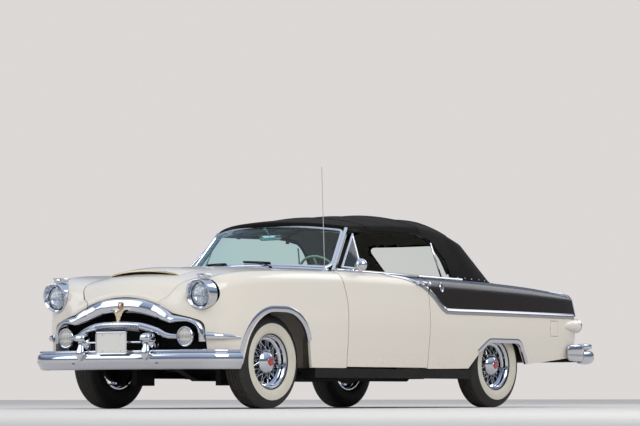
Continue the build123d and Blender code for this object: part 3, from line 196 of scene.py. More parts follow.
def chrome(name, tint, roughness=0.07):
    """Polished plating with faint polishing haze."""
    s = Shader(name)
    haze = s.noise(26.0, 4.0, 0.6)
    return s.finish(
        Base_Color=s.mix(haze.between(0.3, 0.8) * 0.25, tint, tuple(c * 0.86 for c in tint)),
        Metallic=1.0, Roughness=haze * 0.05 + (roughness - 0.02),
    )


def enamel(name, colour, second=None, mask=None, lacquer=0.65):
    """Gloss enamel under clear lacquer, with a trace of orange peel and of dust low down."""
    s = Shader(name)
    base = s.mix(s.noise(1.1, 2.0).between(0.3, 0.7) * 0.5, colour, tuple(c * 0.965 for c in colour))
    if second:
        base = s.mix(mask(s), base, second)
    base = s.mix(dust(s) * 0.18, base, (0.30, 0.27, 0.23))
    peel = s.noise(420.0, 2.0, 0.5)
    return s.finish(Base_Color=base, Roughness=dust(s) * 0.2 + 0.26, Coat_Weight=lacquer, Coat_Roughness=0.05,
        Specular_IOR_Level=0.2, Normal=s.bump(peel, 0.00006, 0.5))


CREAM = (0.735, 0.700, 0.635)
BROWN = (0.0155, 0.0115, 0.0098)
# side view of the edge between the two paints: millimetres ahead of the front axle, and up
TONE_LINE = (
    (-1480.0, 1074.0), (-1700.0, 1055.0), (-1850.0, 1020.0), (-1965.0, 974.0), (-2070.0, 905.0),
    (-2150.0, 838.0), (-2210.0, 806.0), (-2300.0, 794.0), (-2900.0, 794.0), (-4300.0, 793.0),
)


def upper_paint(s):
    """1 above the edge between the two paints."""
    x, y, z = s.axes()
    where = (x - (FRONT_AXLE + TONE_LINE[0][0] / 1000)) * (1000.0 / (TONE_LINE[-1][0] - TONE_LINE[0][0]))
    curve = s.tree.nodes.new("ShaderNodeFloatCurve")
    s.tree.links.new(where.socket, curve.inputs["Value"])
    points = curve.mapping.curves[0].points
    span = TONE_LINE[-1][0] - TONE_LINE[0][0]
    places = [((d - TONE_LINE[0][0]) / span, up / 1000 - 0.5) for d, up in TONE_LINE]
    points[0].location, points[1].location = places[0], places[-1]
    for place in places[1:-1]:
        points.new(*place)
    for point in points:
        point.handle_type = "VECTOR"
    curve.mapping.update()
    line = Value(s, curve.outputs[0]) + 0.5
    behind = x.below(FRONT_AXLE + TONE_LINE[0][0] / 1000)
    return (z - line).between(-0.001, 0.001) * behind


paint = {
    "two_tone": enamel("two_tone_enamel", CREAM, BROWN, upper_paint, 0.22),
    "cream": enamel("cream_enamel", CREAM),
    "brown": enamel("brown_enamel", BROWN, lacquer=0.2),
}
plating = chrome("chrome_plate", (0.62, 0.64, 0.69), 0.05)
satin_trim = chrome("satin_trim", (0.36, 0.36, 0.375), 0.16)
rose_gilt = chrome("rose_gilt", (0.52, 0.33, 0.25), 0.14)
gilt = chrome("pale_gold_plate", (0.78, 0.66, 0.47), 0.16)


def black_satin(name, level=0.007, roughness=0.55):
    s = Shader(name)
    grain = s.noise(60.0, 5.0, 0.65)
    return s.finish(Base_Color=s.mix(dust(s, 0.7) * 0.14, (level * 0.6, level * 0.6, level * 0.6),
        (0.060, 0.053, 0.044)), Roughness=grain * 0.25 + (roughness - 0.12), Specular_IOR_Level=0.25,
        Normal=s.bump(grain, 0.0008, 0.25))


# black chassis paint, set darker than such paint so that it also paints the shade in the wheel openings and
# under the body
chassis_black = black_satin("chassis_black")
carpet = plain("floor_carpet", (900.0, 2.0, 0.7), (0.010, 0.010, 0.010), (0.045, 0.043, 0.040), 0.95,
    (0.003, 0.8))
lining_cloth = plain("pale_lining_cloth", (700.0, 2.0, 0.6), (0.30, 0.27, 0.22), (0.40, 0.37, 0.31), 0.9,
    (0.0006, 0.6))
engine_iron = plain("engine_iron", (120.0, 5.0, 0.7), (0.05, 0.06, 0.055), (0.09, 0.10, 0.095), 0.45,
    (0.001, 0.5), spread=0.3, Metallic=0.2)
red_enamel = plain("red_enamel", (90.0, 2.0), (0.42, 0.014, 0.016), (0.294, 0.0098, 0.0112), 0.15,
                   Coat_Weight=1.0, Coat_Roughness=0.03)
plate_white = plain("blank_plate_enamel", (30.0, 4.0, 0.7), (0.72, 0.72, 0.70), (0.55, 0.54, 0.50), 0.35,
                    contrast=(0.55, 0.85, 0.4), Coat_Weight=0.4)
ivory = plain("cream_plastic", (18.0, 3.0), (0.62, 0.60, 0.48), (0.52, 0.50, 0.38), 0.22,
              Coat_Weight=0.6, Coat_Roughness=0.05)
lamp_silver = plain("lamp_silver", (60.0, 3.0), (0.93, 0.94, 0.96), (0.82, 0.84, 0.88), 0.10, spread=0.08,
    Metallic=1.0)
dash_paint = enamel("dash_enamel", (0.045, 0.038, 0.034))
# near-black: the wipers' rubber and the dials' faces, and painted shade inside the hood scoop's slot, behind
# the grille and round the headlamp glass
black_and_painted_shade = black_satin("near_black_and_painted_shade", 0.004, 0.8)
wiper_black = black_satin("wiper_black", 0.012, 0.4)


def cloth():
    """Black woven top cloth: a fine twill with soft folds and dust in the weave."""
    s = Shader("woven_top_cloth")
    x, y, z = s.axes()
    weave = ((x + z * 0.8) * 2600.0).sine() * ((y - z * 0.6) * 2600.0).sine()
    lint = s.noise(38.0, 6.0, 0.65)
    fold = s.noise(3.2, 3.0, 0.55, (0.6, 1.0, 1.3))
    return s.finish(
        Base_Color=s.mix(lint.between(0.35, 0.8) * 0.6, (0.0052, 0.0048, 0.0050), (0.0150, 0.0138, 0.0130)),
        Roughness=0.92, Sheen_Weight=0.035, Sheen_Roughness=0.45, Specular_IOR_Level=0.12,
        Normal=s.bump(weave * 0.15 + fold * 6.0, 0.0012, 0.6),
    )


top_cloth = cloth()


def leather(name, colour):
    s = Shader(name)
    grain = s.node("ShaderNodeTexVoronoi", {"feature": "DISTANCE_TO_EDGE"}, Vector=s.spot(), Scale=380.0)
    wear = s.noise(7.0, 4.0, 0.6)
    return s.finish(
        Base_Color=s.mix(wear.between(0.35, 0.8) * 0.5, colour, tuple(c * 0.72 for c in colour)),
        Roughness=wear * 0.2 + 0.38, Normal=s.bump(grain.between(0.0, 0.08), 0.0008, 0.5),
    )


seat_leather = leather("pale_seat_leather", (0.42, 0.38, 0.31))
dark_leather = leather("dark_seat_leather", (0.030, 0.026, 0.022))


def glass(name, tint):
    """Thin glass: mostly clear, tinted, with the sky's gloss."""
    s = Shader(name)
    facing = s.node("ShaderNodeFresnel", None, IOR=1.5)
    return s.clear(facing, tint, (0.92, 0.95, 0.96), Roughness=s.noise(14.0, 4.0, 0.6) * 0.03 + 0.01)


def flutes():
    """Moulded lamp glass: clear, with faint flutes."""
    s = Shader("fluted_lamp_glass")
    x, y, z = s.axes()
    ribs = (y * 520.0).sine() * 0.6 + (z * 190.0).sine() * 0.4
    rough = ribs.between(-1.0, 1.0)
    facing = s.node("ShaderNodeFresnel", None, IOR=1.5)
    return s.clear(facing * 0.8 + (rough * 0.20 + 0.12), (0.93, 0.96, 0.97), (0.95, 0.97, 1.0),
                   Roughness=rough * 0.05 + 0.05, Normal=s.bump(ribs, 0.0012, 0.8))


windshield_glass = glass("tinted_windshield", (0.74, 0.88, 0.87))
clear_glass = glass("clear_glass", (0.92, 0.95, 0.94))
fluted_glass = flutes()


def lens(name, colour, flutes):
    """Pressed lamp glass with its flutes over a bright reflector."""
    s = Shader(name)
    x, y, z = s.axes()
    ribs = (y * flutes).sine() * 0.5 + (z * (flutes * 0.35)).sine() * 0.5
    return s.finish(Base_Color=s.mix(ribs.between(-0.6, 0.8), tuple(c * 0.55 for c in colour), colour),
        Metallic=0.35, Roughness=0.12, Coat_Weight=1.0, Coat_Roughness=0.02, Normal=s.bump(ribs, 0.002, 0.7))


lamp_glass = lens("headlamp_glass", (0.80, 0.83, 0.86), 640.0)
red_lens = lens("red_tail_lens", (0.45, 0.012, 0.008), 500.0)
parking_glass = lens("parking_lamp_glass", (0.80, 0.78, 0.74), 420.0)


def rubber():
    """Tyre rubber with a wide white sidewall, scuffed and dusty at the tread."""
    s = Shader("tyre_rubber_whitewall")
    radius = s.node("ShaderNodeAttribute", {"attribute_name": "from_axle", "attribute_type": "GEOMETRY"},
        out="Fac")
    outside = s.node("ShaderNodeAttribute", {"attribute_name": "outside", "attribute_type": "GEOMETRY"},
        out="Fac")
    white = radius.above(0.2155) * radius.below(0.2945) * outside.above(0.5)
    grime = s.noise(40.0, 5.0, 0.65)
    black = s.mix(grime.between(0.3, 0.8) * radius.between(0.335, 0.36), (0.012, 0.012, 0.012),
                  (0.055, 0.050, 0.043))
    pale = s.mix(grime.between(0.45, 0.9) * 0.35, (0.60, 0.575, 0.50), (0.42, 0.385, 0.31))
    return s.finish(Base_Color=s.mix(white, black, pale), Roughness=grime * 0.2 + 0.55,
        Normal=s.bump(grime, 0.0006, 0.4))


tyre_rubber = rubber()


def dress(material, *names):
    """Gives CAD nodes a material."""
    for name in names:
        if name in nodes:
            data = nodes[name].data
            data.materials.clear()
            data.materials.append(material)


dress(paint["two_tone"], "door_left", "door_right", "quarter_left", "quarter_right", "fuel_door")
dress(paint["cream"], "front_fender_left", "front_fender_right", "hood", "cowl", "tail_panel")
dress(paint["brown"], "deck_lid", "deck_panel")
dress(plating, "grille", "front_bumper", "rear_bumper", "headlamp_rims", "parking_lamps", "windshield_frame",
      "antenna", "tail_lamps", "vent_left", "vent_right")
dress(chassis_black, "frame", "inner_fenders", "sills", "rear_axle", "leaf_springs", "front_arms",
      "fuel_tank", "radiator", "knuckle_left", "knuckle_right", "steering_column", "top_bows")
dress(carpet, "floor", "bulkhead")
dress(windshield_glass, "windshield_glass")
dress(clear_glass, "vent_glass_left", "vent_glass_right")
dress(lamp_glass, "lamp_lenses")
dress(engine_iron, "engine", "transmission")
dress(seat_leather, "front_seat", "rear_seat")
dress(dash_paint, "dashboard")
dress(ivory, "steering_wheel")
dress(top_cloth, "soft_top")
dress(plate_white, "licence_plate")
dress(plating, *[n for n in nodes if n.startswith("wheel_")])
dress(tyre_rubber, *[n for n in nodes if n.startswith("tyre_")])


# making meshes
def added(name, data):
    """An object with this data, put in the scene."""
    obj = bpy.data.objects.new(name, data)
    bpy.context.scene.collection.objects.link(obj)
    return obj


def piece(name, points, faces, material, body, slot):
    """A mesh piece that rides on a body."""
    data = bpy.data.meshes.new(name)
    data.from_pydata([tuple(p) for p in points], [], faces)
    data.validate()
    obj = added(name, data)
    tidy_mesh(data)
    data.materials.append(material)
    for polygon in data.polygons:
        polygon.use_smooth = True
    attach(obj, body)
    return obj


def tidy_mesh(data, merge=True):
    """Merges doubled points and turns every face outwards."""
    form = bmesh.new()
    form.from_mesh(data)
    if merge:
        bmesh.ops.remove_doubles(form, verts=form.verts, dist=0.00001)
    bmesh.ops.recalc_face_normals(form, faces=form.faces)
    form.to_mesh(data)
    form.free()


def sharpen(obj, angle=35.0):
    """Keeps edges crisp where faces meet at more than this angle."""
    form = bmesh.new()
    form.from_mesh(obj.data)
    for edge in form.edges:
        edge.smooth = not (len(edge.link_faces) == 2 and edge.calc_face_angle(0.0) > radians(angle))
    form.to_mesh(obj.data)
    form.free()
    return obj


def trim(name, part, angle=40, body="root", material=plating, slot="chrome_trim"):
    """A piece with crisp edges, bright trim on the body unless told otherwise."""
    return sharpen(piece(name, *part, material, body, slot), angle)


def black_part(name, part, body="root"):
    """A piece in plain chassis black."""
    return piece(name, *part, chassis_black, body, "chassis_black")


def shares(steps):
    """Even steps from 0 to 1."""
    return [n / steps for n in range(steps + 1)]


def skin_faces(rows, columns, closed_rows=False, closed_columns=True):
    """Quads over a grid of points, row after row."""
    faces = []
    for r in range(rows - (0 if closed_rows else 1)):
        for c in range(columns - (0 if closed_columns else 1)):
            a, b = r * columns + c, r * columns + (c + 1) % columns
            q = (r + 1) % rows
            faces.append((a, b, q * columns + (c + 1) % columns, q * columns + c))
    return faces


def stacked(rows):
    """A closed form through rings of points, capped at both ends."""
    count, steps = len(rows), len(rows[0])
    caps = [tuple(range(steps))[::-1], tuple(range((count - 1) * steps, count * steps))]
    return [p for row in rows for p in row], skin_faces(count, steps) + caps


def wrapped(rows):
    """A closed form whose rows of points follow each other round it, capped where the rows begin and end."""
    count, steps = len(rows), len(rows[0])
    caps = [tuple(r * steps for r in range(count)), tuple(r * steps + steps - 1 for r in range(count))[::-1]]
    return [p for row in rows for p in row], skin_faces(count, steps, True, False) + caps


def plate(front, back, columns):
    """A closed plate between two like sheets of points, each given row after row."""
    count, last = len(front), len(front) // columns - 1
    rim = list(range(columns)) + [r * columns + columns - 1 for r in range(1, last + 1)]
    rim += ([last * columns + c for c in range(columns - 2, -1, -1)]
            + [r * columns for r in range(last - 1, 0, -1)])
    faces = skin_faces(last + 1, columns, False, False)
    faces += [tuple(count + i for i in reversed(face)) for face in faces]
    faces += [(a, b, count + b, count + a) for a, b in zip(rim, rim[1:] + rim[:1])]
    return front + back, faces


def bent(value, power):
    """A power that keeps the sign: below 1 it squares off a round section."""
    return abs(value) ** power * (1 if value > 0 else -1)


def mm(*pairs):
    """Pairs given in millimetres."""
    return [(a / 1000, b / 1000) for a, b in pairs]


def oval(across, up, steps=12):
    """The section of a round or oval rod, given by its half sizes."""
    return [(across * cos(2 * pi * k / steps), up * sin(2 * pi * k / steps)) for k in range(steps)]


def flat_bar(across, up):
    """The section of a flat bar, given by its half sizes."""
    return [(-across, -up), (-across, up), (across, up), (across, -up)]


def swept(path, ups, section, closed=False, scale=None):
    """A section (across, up) carried along a path, with one up direction or one for each point."""
    points = []
    count = len(path)
    ups = [ups] * count if isinstance(ups, Vector) else ups
    for n, (place, up) in enumerate(zip(path, ups)):
        before = path[(n - 1) % count] if closed or n else path[n]
        after = path[(n + 1) % count] if closed or n < count - 1 else path[n]
        way = (after - before).normalized()
        across = way.cross(up).normalized()
        up = across.cross(way).normalized()
        k = scale[n] if scale else (1.0, 1.0)
        points += [place + across * (a * k[0]) + up * (b * k[1]) for a, b in section]
    faces = skin_faces(count, len(section), closed)
    if not closed:
        faces.append(tuple(range(len(section)))[::-1])
        faces.append(tuple(range((count - 1) * len(section), count * len(section))))
    return points, faces


def spun(profile, centre, axis, steps=64):
    """A profile of (radius, along) turned about an axis."""
    axis = Vector(axis).normalized()
    side = axis.orthogonal().normalized()
    other = axis.cross(side)
    points = []
    for n in range(steps):
        a = 2 * pi * n / steps
        out = side * cos(a) + other * sin(a)
        points += [Vector(centre) + out * max(r, 0.00001) + axis * h for r, h in profile]
    return points, skin_faces(steps, len(profile), True, False)


def joined(*parts):
    """Several sets of points and faces as one."""
    points, faces = [], []
    for some, more in parts:
        faces += [tuple(i + len(points) for i in face) for face in more]
        points += some
    return points, faces


def flipped(part):
    """The same on the other side of the car."""
    points, faces = part
    return [Vector((p[0], -p[1], p[2])) for p in points], [tuple(reversed(face)) for face in faces]


def smooth_line(points, steps=8, closed=False):
    """A smooth line through points."""
    line = []
    count = len(points)
    last = count if closed else count - 1
    for n in range(last):
        p1, p2 = points[n], points[(n + 1) % count]
        p0 = points[(n - 1) % count] if closed or n else p1 * 2 - p2
        p3 = points[(n + 2) % count] if closed or n + 2 < count else p2 * 2 - p1
        for k in range(steps):
            t = k / steps
            line.append(0.5 * (2 * p1 + (p2 - p0) * t + (2 * p0 - 5 * p1 + 4 * p2 - p3) * t**2
                               + (3 * p1 - p0 - 3 * p2 + p3) * t**3))
    if not closed:
        line.append(points[-1].copy())
    return line


def dense(line, step, closed=False):
    """The line with more points on its long runs."""
    out = []
    for a, b in zip(line, line[1:] + (line[:1] if closed else [])):
        count = max(1, int((b - a).length / step))
        out += [a.lerp(b, k / count) for k in range(count)]
    return out


def rounded_line(points, radii, steps=8, closed=False):
    """Straight runs joined by arcs."""
    line = []
    count = len(points)
    for n, p in enumerate(points):
        if not closed and n in (0, count - 1) or radii[n] < 0.002:
            line.append(p.copy())
            continue
        a, b = points[n - 1], points[(n + 1) % count]
        u, v = (a - p).normalized(), (b - p).normalized()
        half = u.angle(v) / 2
        reach = radii[n] / tan(half)
        centre = p + (u + v).normalized() * (radii[n] / sin(half))
        start, end = p + u * reach - centre, p + v * reach - centre
        sweep = start.angle(end)
        for k in range(steps + 1):
            t = k / steps
            line.append(centre + (start * sin((1 - t) * sweep) + end * sin(t * sweep)) / sin(sweep))
    return line


class Skin:
    """The outer surface of some CAD nodes, for trim to lie on."""

    def __init__(self, *names):
        points, faces = [], []
        for name in names:
            data = nodes[name].data
            faces += [tuple(i + len(points) for i in polygon.vertices) for polygon in data.polygons]
            points += [nodes[name].matrix_world @ v.co for v in data.vertices]
        self.tree = BVHTree.FromPolygons(points, faces)

    def hit(self, start, way):
        place, normal, _, _ = self.tree.ray_cast(Vector(start), Vector(way))
        if place is None:
            return None
        return place, normal if normal.dot(Vector(way)) < 0 else -normal

    def side(self, x, z, hand=1):
        return self.hit((x, hand * 2.0, z), (0, -hand, 0))

    def above(self, x, y):
        return self.hit((x, y, 3.0), (0, 0, -1))

    def ahead(self, y, z):
        return self.hit((4.0, y, z), (-1, 0, 0))


body_skin = Skin("front_fender_left", "front_fender_right", "hood", "cowl", "door_left", "door_right",
    "quarter_left", "quarter_right", "deck_lid", "deck_panel", "tail_panel")


# repeated shapes, made with geometry nodes
class Recipe:
    """A geometry node tree with named inputs for its sizes."""

    def __init__(self, name, **inputs):
        self.tree = bpy.data.node_groups.new(name, "GeometryNodeTree")
        self.tree.interface.new_socket(name="Geometry", in_out="OUTPUT", socket_type="NodeSocketGeometry")
        self.names = {}
        for key, value in inputs.items():
            kind = {int: "NodeSocketInt", float: "NodeSocketFloat", Vector: "NodeSocketVector"}[type(value)]
            socket = self.tree.interface.new_socket(name=key, in_out="INPUT", socket_type=kind)
            socket.default_value = value
            self.names[key] = socket.identifier
        self.given = self.tree.nodes.new("NodeGroupInput")
        self.result = self.tree.nodes.new("NodeGroupOutput")

    def __getitem__(self, key):
        return self.given.outputs[key]

    def node(self, kind, settings=None, **values):
        node = self.tree.nodes.new(kind)
        for key, setting in (settings or {}).items():
            setattr(node, key, setting)
        for key, value in values.items():
            key = key.replace("_", " ")
            socket = node.inputs[int(key[3:])] if key.startswith("at ") else node.inputs[key]
            if isinstance(value, bpy.types.NodeSocket):
                self.tree.links.new(value, socket)
            else:
                socket.default_value = value
        return node.outputs[0]

    def finish(self, geometry, material):
        """Ends the tree in real geometry with its material."""
        real = self.node("GeometryNodeRealizeInstances", Geometry=geometry)
        dressed = self.node("GeometryNodeSetMaterial", Geometry=real, Material=material)
        self.tree.links.new(dressed, self.result.inputs[0])
        return self

    def make(self, **inputs):
        """The points and faces of the result with these sizes."""
        carrier = added("carrier", bpy.data.meshes.new("carrier"))
        modifier = carrier.modifiers.new("recipe", "NODES")
        modifier.node_group = self.tree
        for key, value in inputs.items():
            modifier[self.names[key]] = value
        depsgraph = bpy.context.evaluated_depsgraph_get()
        data = bpy.data.meshes.new_from_object(carrier.evaluated_get(depsgraph), depsgraph=depsgraph)
        bpy.data.objects.remove(carrier)
        points = [v.co.copy() for v in data.vertices]
        faces = [tuple(p.vertices) for p in data.polygons]
        bpy.data.meshes.remove(data)
        return points, faces


def ring_of_rods():
    """Rods set round an axle, each from an inner point to an outer one."""
    recipe = Recipe("ring_of_rods", Count=10, Inner=Vector((0, 0, 0.1)), Outer=Vector((0, 0, 0.2)),
        Thickness=0.003, Start=0.0)
    line = recipe.node("GeometryNodeCurvePrimitiveLine", Start=recipe["Inner"], End=recipe["Outer"])
    circle = recipe.node("GeometryNodeCurvePrimitiveCircle", Resolution=8, Radius=recipe["Thickness"])
    rod = recipe.node("GeometryNodeCurveToMesh", Curve=line, Profile_Curve=circle, Fill_Caps=True)
    points = recipe.node("GeometryNodePoints", Count=recipe["Count"])
    index = recipe.node("GeometryNodeInputIndex")
    share = recipe.node("ShaderNodeMath", {"operation": "DIVIDE"}, at_0=index, at_1=recipe["Count"])
    angle = recipe.node("ShaderNodeMath", {"operation": "MULTIPLY_ADD"}, at_0=share, at_1=2 * pi,
        at_2=recipe["Start"])
    turn = recipe.node("ShaderNodeCombineXYZ", Y=angle)
    rods = recipe.node("GeometryNodeInstanceOnPoints", Points=points, Instance=rod, Rotation=turn)
    return recipe.finish(rods, plating)


RODS = ring_of_rods()


# wheels and tyres

# each row's hub radius, place along the axle there, rim radius, place along the axle there, lean in degrees
SPOKE_ROWS = (
    (0.088, 0.050, 0.170, 0.020, 17.0), (0.088, 0.044, 0.170, 0.014, -17.0),
    (0.060, 0.006, 0.170, 0.002, 24.0), (0.060, 0.000, 0.170, -0.006, -24.0),
)
SPOKES_A_ROW = 12


def wheel(place, track, hand, body):
    """A wire wheel with its dished hub, domed cap and bare medallion."""
    centre = Vector((place, hand * track / 2, TYRE_RADIUS))
    half = RIM_WIDTH / 2

    def turned(profile, steps):
        return spun(profile, (0, 0, 0), LEFT, steps)

    def placed(part):
        points, faces = flipped(part) if hand < 0 else part
        return [p + centre for p in points], faces

    rim = turned([(0.2085, half - 0.013), (0.2085, half - 0.003), (0.206, half), (0.2025, half - 0.001),
                  (0.199, half - 0.010), (0.190, half - 0.018), (0.1885, half - 0.040), (0.181, half - 0.047),
                  (0.176, half - 0.050), (0.1695, half - 0.054), (0.1685, 0.0), (0.1695, -half + 0.052),
                  (0.187, -half + 0.044), (0.189, -half + 0.014), (0.201, -half), (0.208, -half),
                  (0.208, -half + 0.012), (0.194, -half + 0.016), (0.192, -half + 0.040),
                  (0.174, -half + 0.048), (0.174, half - 0.048), (0.192, half - 0.040), (0.194, half - 0.016),
                  (0.2085, half - 0.013)], 96)
    hub = turned([(0.0, half + 0.0105), (0.012, half + 0.0102), (0.024, half + 0.0092),
                  (0.025, half + 0.0075), (0.034, half + 0.0068), (0.0355, half + 0.0045),
                  (0.052, half + 0.0005), (0.070, half - 0.010), (0.084, half - 0.022),
                  (0.0925, half - 0.032), (0.094, half - 0.036), (0.092, half - 0.040), (0.086, half - 0.041),
                  (0.074, half - 0.045), (0.066, 0.012), (0.064, -0.016), (0.050, -0.0195), (0.0, -0.0195)],
                 72)
    drum = turned(mm((0, -21), (75, -21), (120, -22), (146, -24), (152, -32), (152, -77), (140, -77.5),
        (0, -77.5)), 56)
    sharpen(black_part(f"drum_{body}", placed(drum), body), 40.0)
    wires = []
    for number, (r0, y0, r1, y1, lean) in enumerate(SPOKE_ROWS):
        outer = Vector((r1 * sin(radians(lean)), y1, r1 * cos(radians(lean))))
        start = 2 * pi * number / (len(SPOKE_ROWS) * SPOKES_A_ROW)
        inner = Vector((0, y0, r0))
        wires.append(RODS.make(Count=SPOKES_A_ROW, Inner=inner, Outer=outer, Thickness=0.0026, Start=start))
        nipple = outer + (inner - outer).normalized() * 0.014
        wires.append(RODS.make(Count=SPOKES_A_ROW, Inner=nipple, Outer=outer, Thickness=0.0043, Start=start))
    whole = joined(rim, hub, *wires)
    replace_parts(trim(f"wire_{body}", placed(whole), 40, body, slot="wheel_chrome"), body)
    badge = turned([(0.0, half + 0.0128), (0.020, half + 0.0124), (0.0305, half + 0.0110),
        (0.0320, half + 0.0086), (0.0, half + 0.0084)], 40)
    piece(f"medallion_{body}", *placed(badge), red_enamel, body, "wheel_chrome")


TREAD_STEPS = 216


def tyre(place, track, hand, body, node):
    """A tyre with a wide white sidewall and zigzag tread ribs."""
    half = TYRE_WIDTH / 2
    side = [(0.2082, 0.0715), (0.2087, 0.0845), (0.2120, 0.0885), (0.2150, 0.0892), (0.2165, 0.0925),
            (0.2280, 0.0985), (0.2420, 0.1030), (0.2580, half - 0.0004), (0.2740, half),
            (0.2890, half - 0.0010), (0.2940, half - 0.0006), (0.2965, half - 0.0008),
            (0.2985, half - 0.0035), (0.3120, half - 0.0065), (0.3270, half - 0.0125),
            (0.3400, half - 0.0195), (0.3480, half - 0.0260), (0.3530, half - 0.0330)]
    tread = [(0.3565, 0.0690, 0), (0.3590, 0.0600, 0)]
    for groove in (0.0430, 0.0145, -0.0145, -0.0430):
        tread += [(0.3598, groove + 0.0034, 1), (0.3530, groove + 0.0020, 1), (0.3530, groove - 0.0020, 1),
                  (0.3598, groove - 0.0034, 1)]
        if groove > -0.04:
            tread.append((0.3600, groove - 0.01425, 0))
    tread += [(0.3590, -0.0600, 0), (0.3565, -0.0690, 0)]
    inside = mm((194.3, -66.5), (194.3, -54.5), (238, -68.5), (330, -76), (340, 0), (330, 76), (238, 68.5),
                (194.3, 54.5), (194.3, 66.5))
    profile = [(r, a, 0) for r, a in side] + tread
    profile += [(r, -a, 0) for r, a in reversed(side)] + [(r, a, 0) for r, a in inside]
    centre = Vector((place, hand * track / 2, TYRE_RADIUS))
    points, radius, outside = [], [], []
    for n in range(TREAD_STEPS):
        angle = 2 * pi * n / TREAD_STEPS
        zigzag = (0.0030, 0.0, -0.0030, 0.0)[n % 4]
        for r, along, loose in profile:
            along = along + loose * zigzag
            points.append(centre + Vector((r * sin(angle), hand * along, r * cos(angle))))
            radius.append(r)
            outside.append(1.0 if along > 0 else 0.0)
    faces = skin_faces(TREAD_STEPS, len(profile), True, True)
    data = bpy.data.meshes.new(f"whitewall_{node}")
    data.from_pydata([tuple(p) for p in points], [], faces)
    for name, values in (("from_axle", radius), ("outside", outside)):
        layer = data.attributes.new(name, "FLOAT", "POINT")
        layer.data.foreach_set("value", values)
    obj = added(f"whitewall_{node}", data)
    tidy_mesh(data, merge=False)
    data.materials.append(tyre_rubber)
    for polygon in data.polygons:
        polygon.use_smooth = True
    sharpen(obj, 40.0)
    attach(obj, body)
    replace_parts(obj, node)


for name, place, track in (("front", FRONT_AXLE, FRONT_TRACK), ("rear", REAR_AXLE, REAR_TRACK)):
    for side_name, hand in SIDES:
        wheel(place, track, hand, f"wheel_{name}_{side_name}")
        tyre(place, track, hand, f"wheel_{name}_{side_name}", f"tyre_{name}_{side_name}")


# trim laid on the body
def on_side(places, hand):
    """Points on the body's side, and its directions there, at places (ahead, up) in millimetres."""
    points, ups = [], []
    for ahead, up in places:
        found = body_skin.side(FRONT_AXLE + ahead / 1000, up / 1000, hand)
        if found:
            points.append(found[0])
            ups.append(found[1])
    return points, ups


def evened(ups, times=3):
    """Directions smoothed along a line."""
    for _ in range(times):
        ups = [(ups[max(n - 1, 0)] + ups[n] * 2 + ups[min(n + 1, len(ups) - 1)]).normalized()
               for n in range(len(ups))]
    return ups


def domed(width, height, sink=0.003):
    """The section of a half-round moulding."""
    half = width / 2
    return [(-half, -sink), (-half, height * 0.30), (-half * 0.82, height * 0.66),
            (-half * 0.45, height * 0.93), (0, height), (half * 0.45, height * 0.93),
            (half * 0.82, height * 0.66), (half, height * 0.30), (half, -sink)]


def ridged(width, height, sink=0.003):
    """The section of a moulding with a raised bead along its middle."""
    half = width / 2
    return [(-half, -sink), (-half, height * 0.35), (-half * 0.86, height * 0.55),
            (-half * 0.5, height * 0.60), (-half * 0.34, height * 0.95), (0, height * 1.1),
            (half * 0.34, height * 0.95), (half * 0.5, height * 0.60), (half * 0.86, height * 0.55),
            (half, height * 0.35), (half, -sink)]


def moulding(name, points, ups, section, material, body, slot="chrome_trim", closed=False, scale=None,
             sharp=50.0):
    """A bar of trim along a line, with its ends closed."""
    return trim(name, swept(points, ups, section, closed, scale), sharp, body, material, slot)


def along(places, steps):
    """Places on a smooth line through some, given as pairs."""
    line = smooth_line([Vector((*p, 0.0)) for p in places], steps)
    return [(p.x, p.y) for p in line]


def both_sides(make):
    """Makes a piece on the left and then on the right."""
    for side_name, hand in SIDES:
        make(side_name, hand)


DOOR_REAR, QUARTER_FRONT = -1985, -1995


def two_tone_strip(side_name, hand):
    """The bright strip between the two paints, on the door and on the quarter."""
    line = along(TONE_LINE, 8)
    for part, body, chosen in (("door", f"door_{side_name}", [p for p in line if p[0] > DOOR_REAR + 3]),
                               ("quarter", "root", [p for p in line if -4305 < p[0] < QUARTER_FRONT - 3])):
        end = (DOOR_REAR + 3, QUARTER_FRONT - 3)[part == "quarter"]
        before = max((p for p in line if p[0] < end), key=lambda p: p[0])
        after = min((p for p in line if p[0] > end), key=lambda p: p[0])
        share = (end - before[0]) / (after[0] - before[0])
        edge = (end, before[1] + (after[1] - before[1]) * share)
        chosen = chosen + [edge] if part == "door" else [edge] + chosen
        points, ups = on_side(chosen, hand)
        moulding(f"two_tone_strip_{part}_{side_name}", points, evened(ups), ridged(0.046, 0.0085), satin_trim,
                 body)


both_sides(two_tone_strip)

FRONT_ARCH = ((455, 200), (325, 741), (-308, 741), (-427, 200))
REAR_ARCH = ((-560, 280), (-360, 455), (-215, 545), (255, 545), (385, 371), (440, 200))


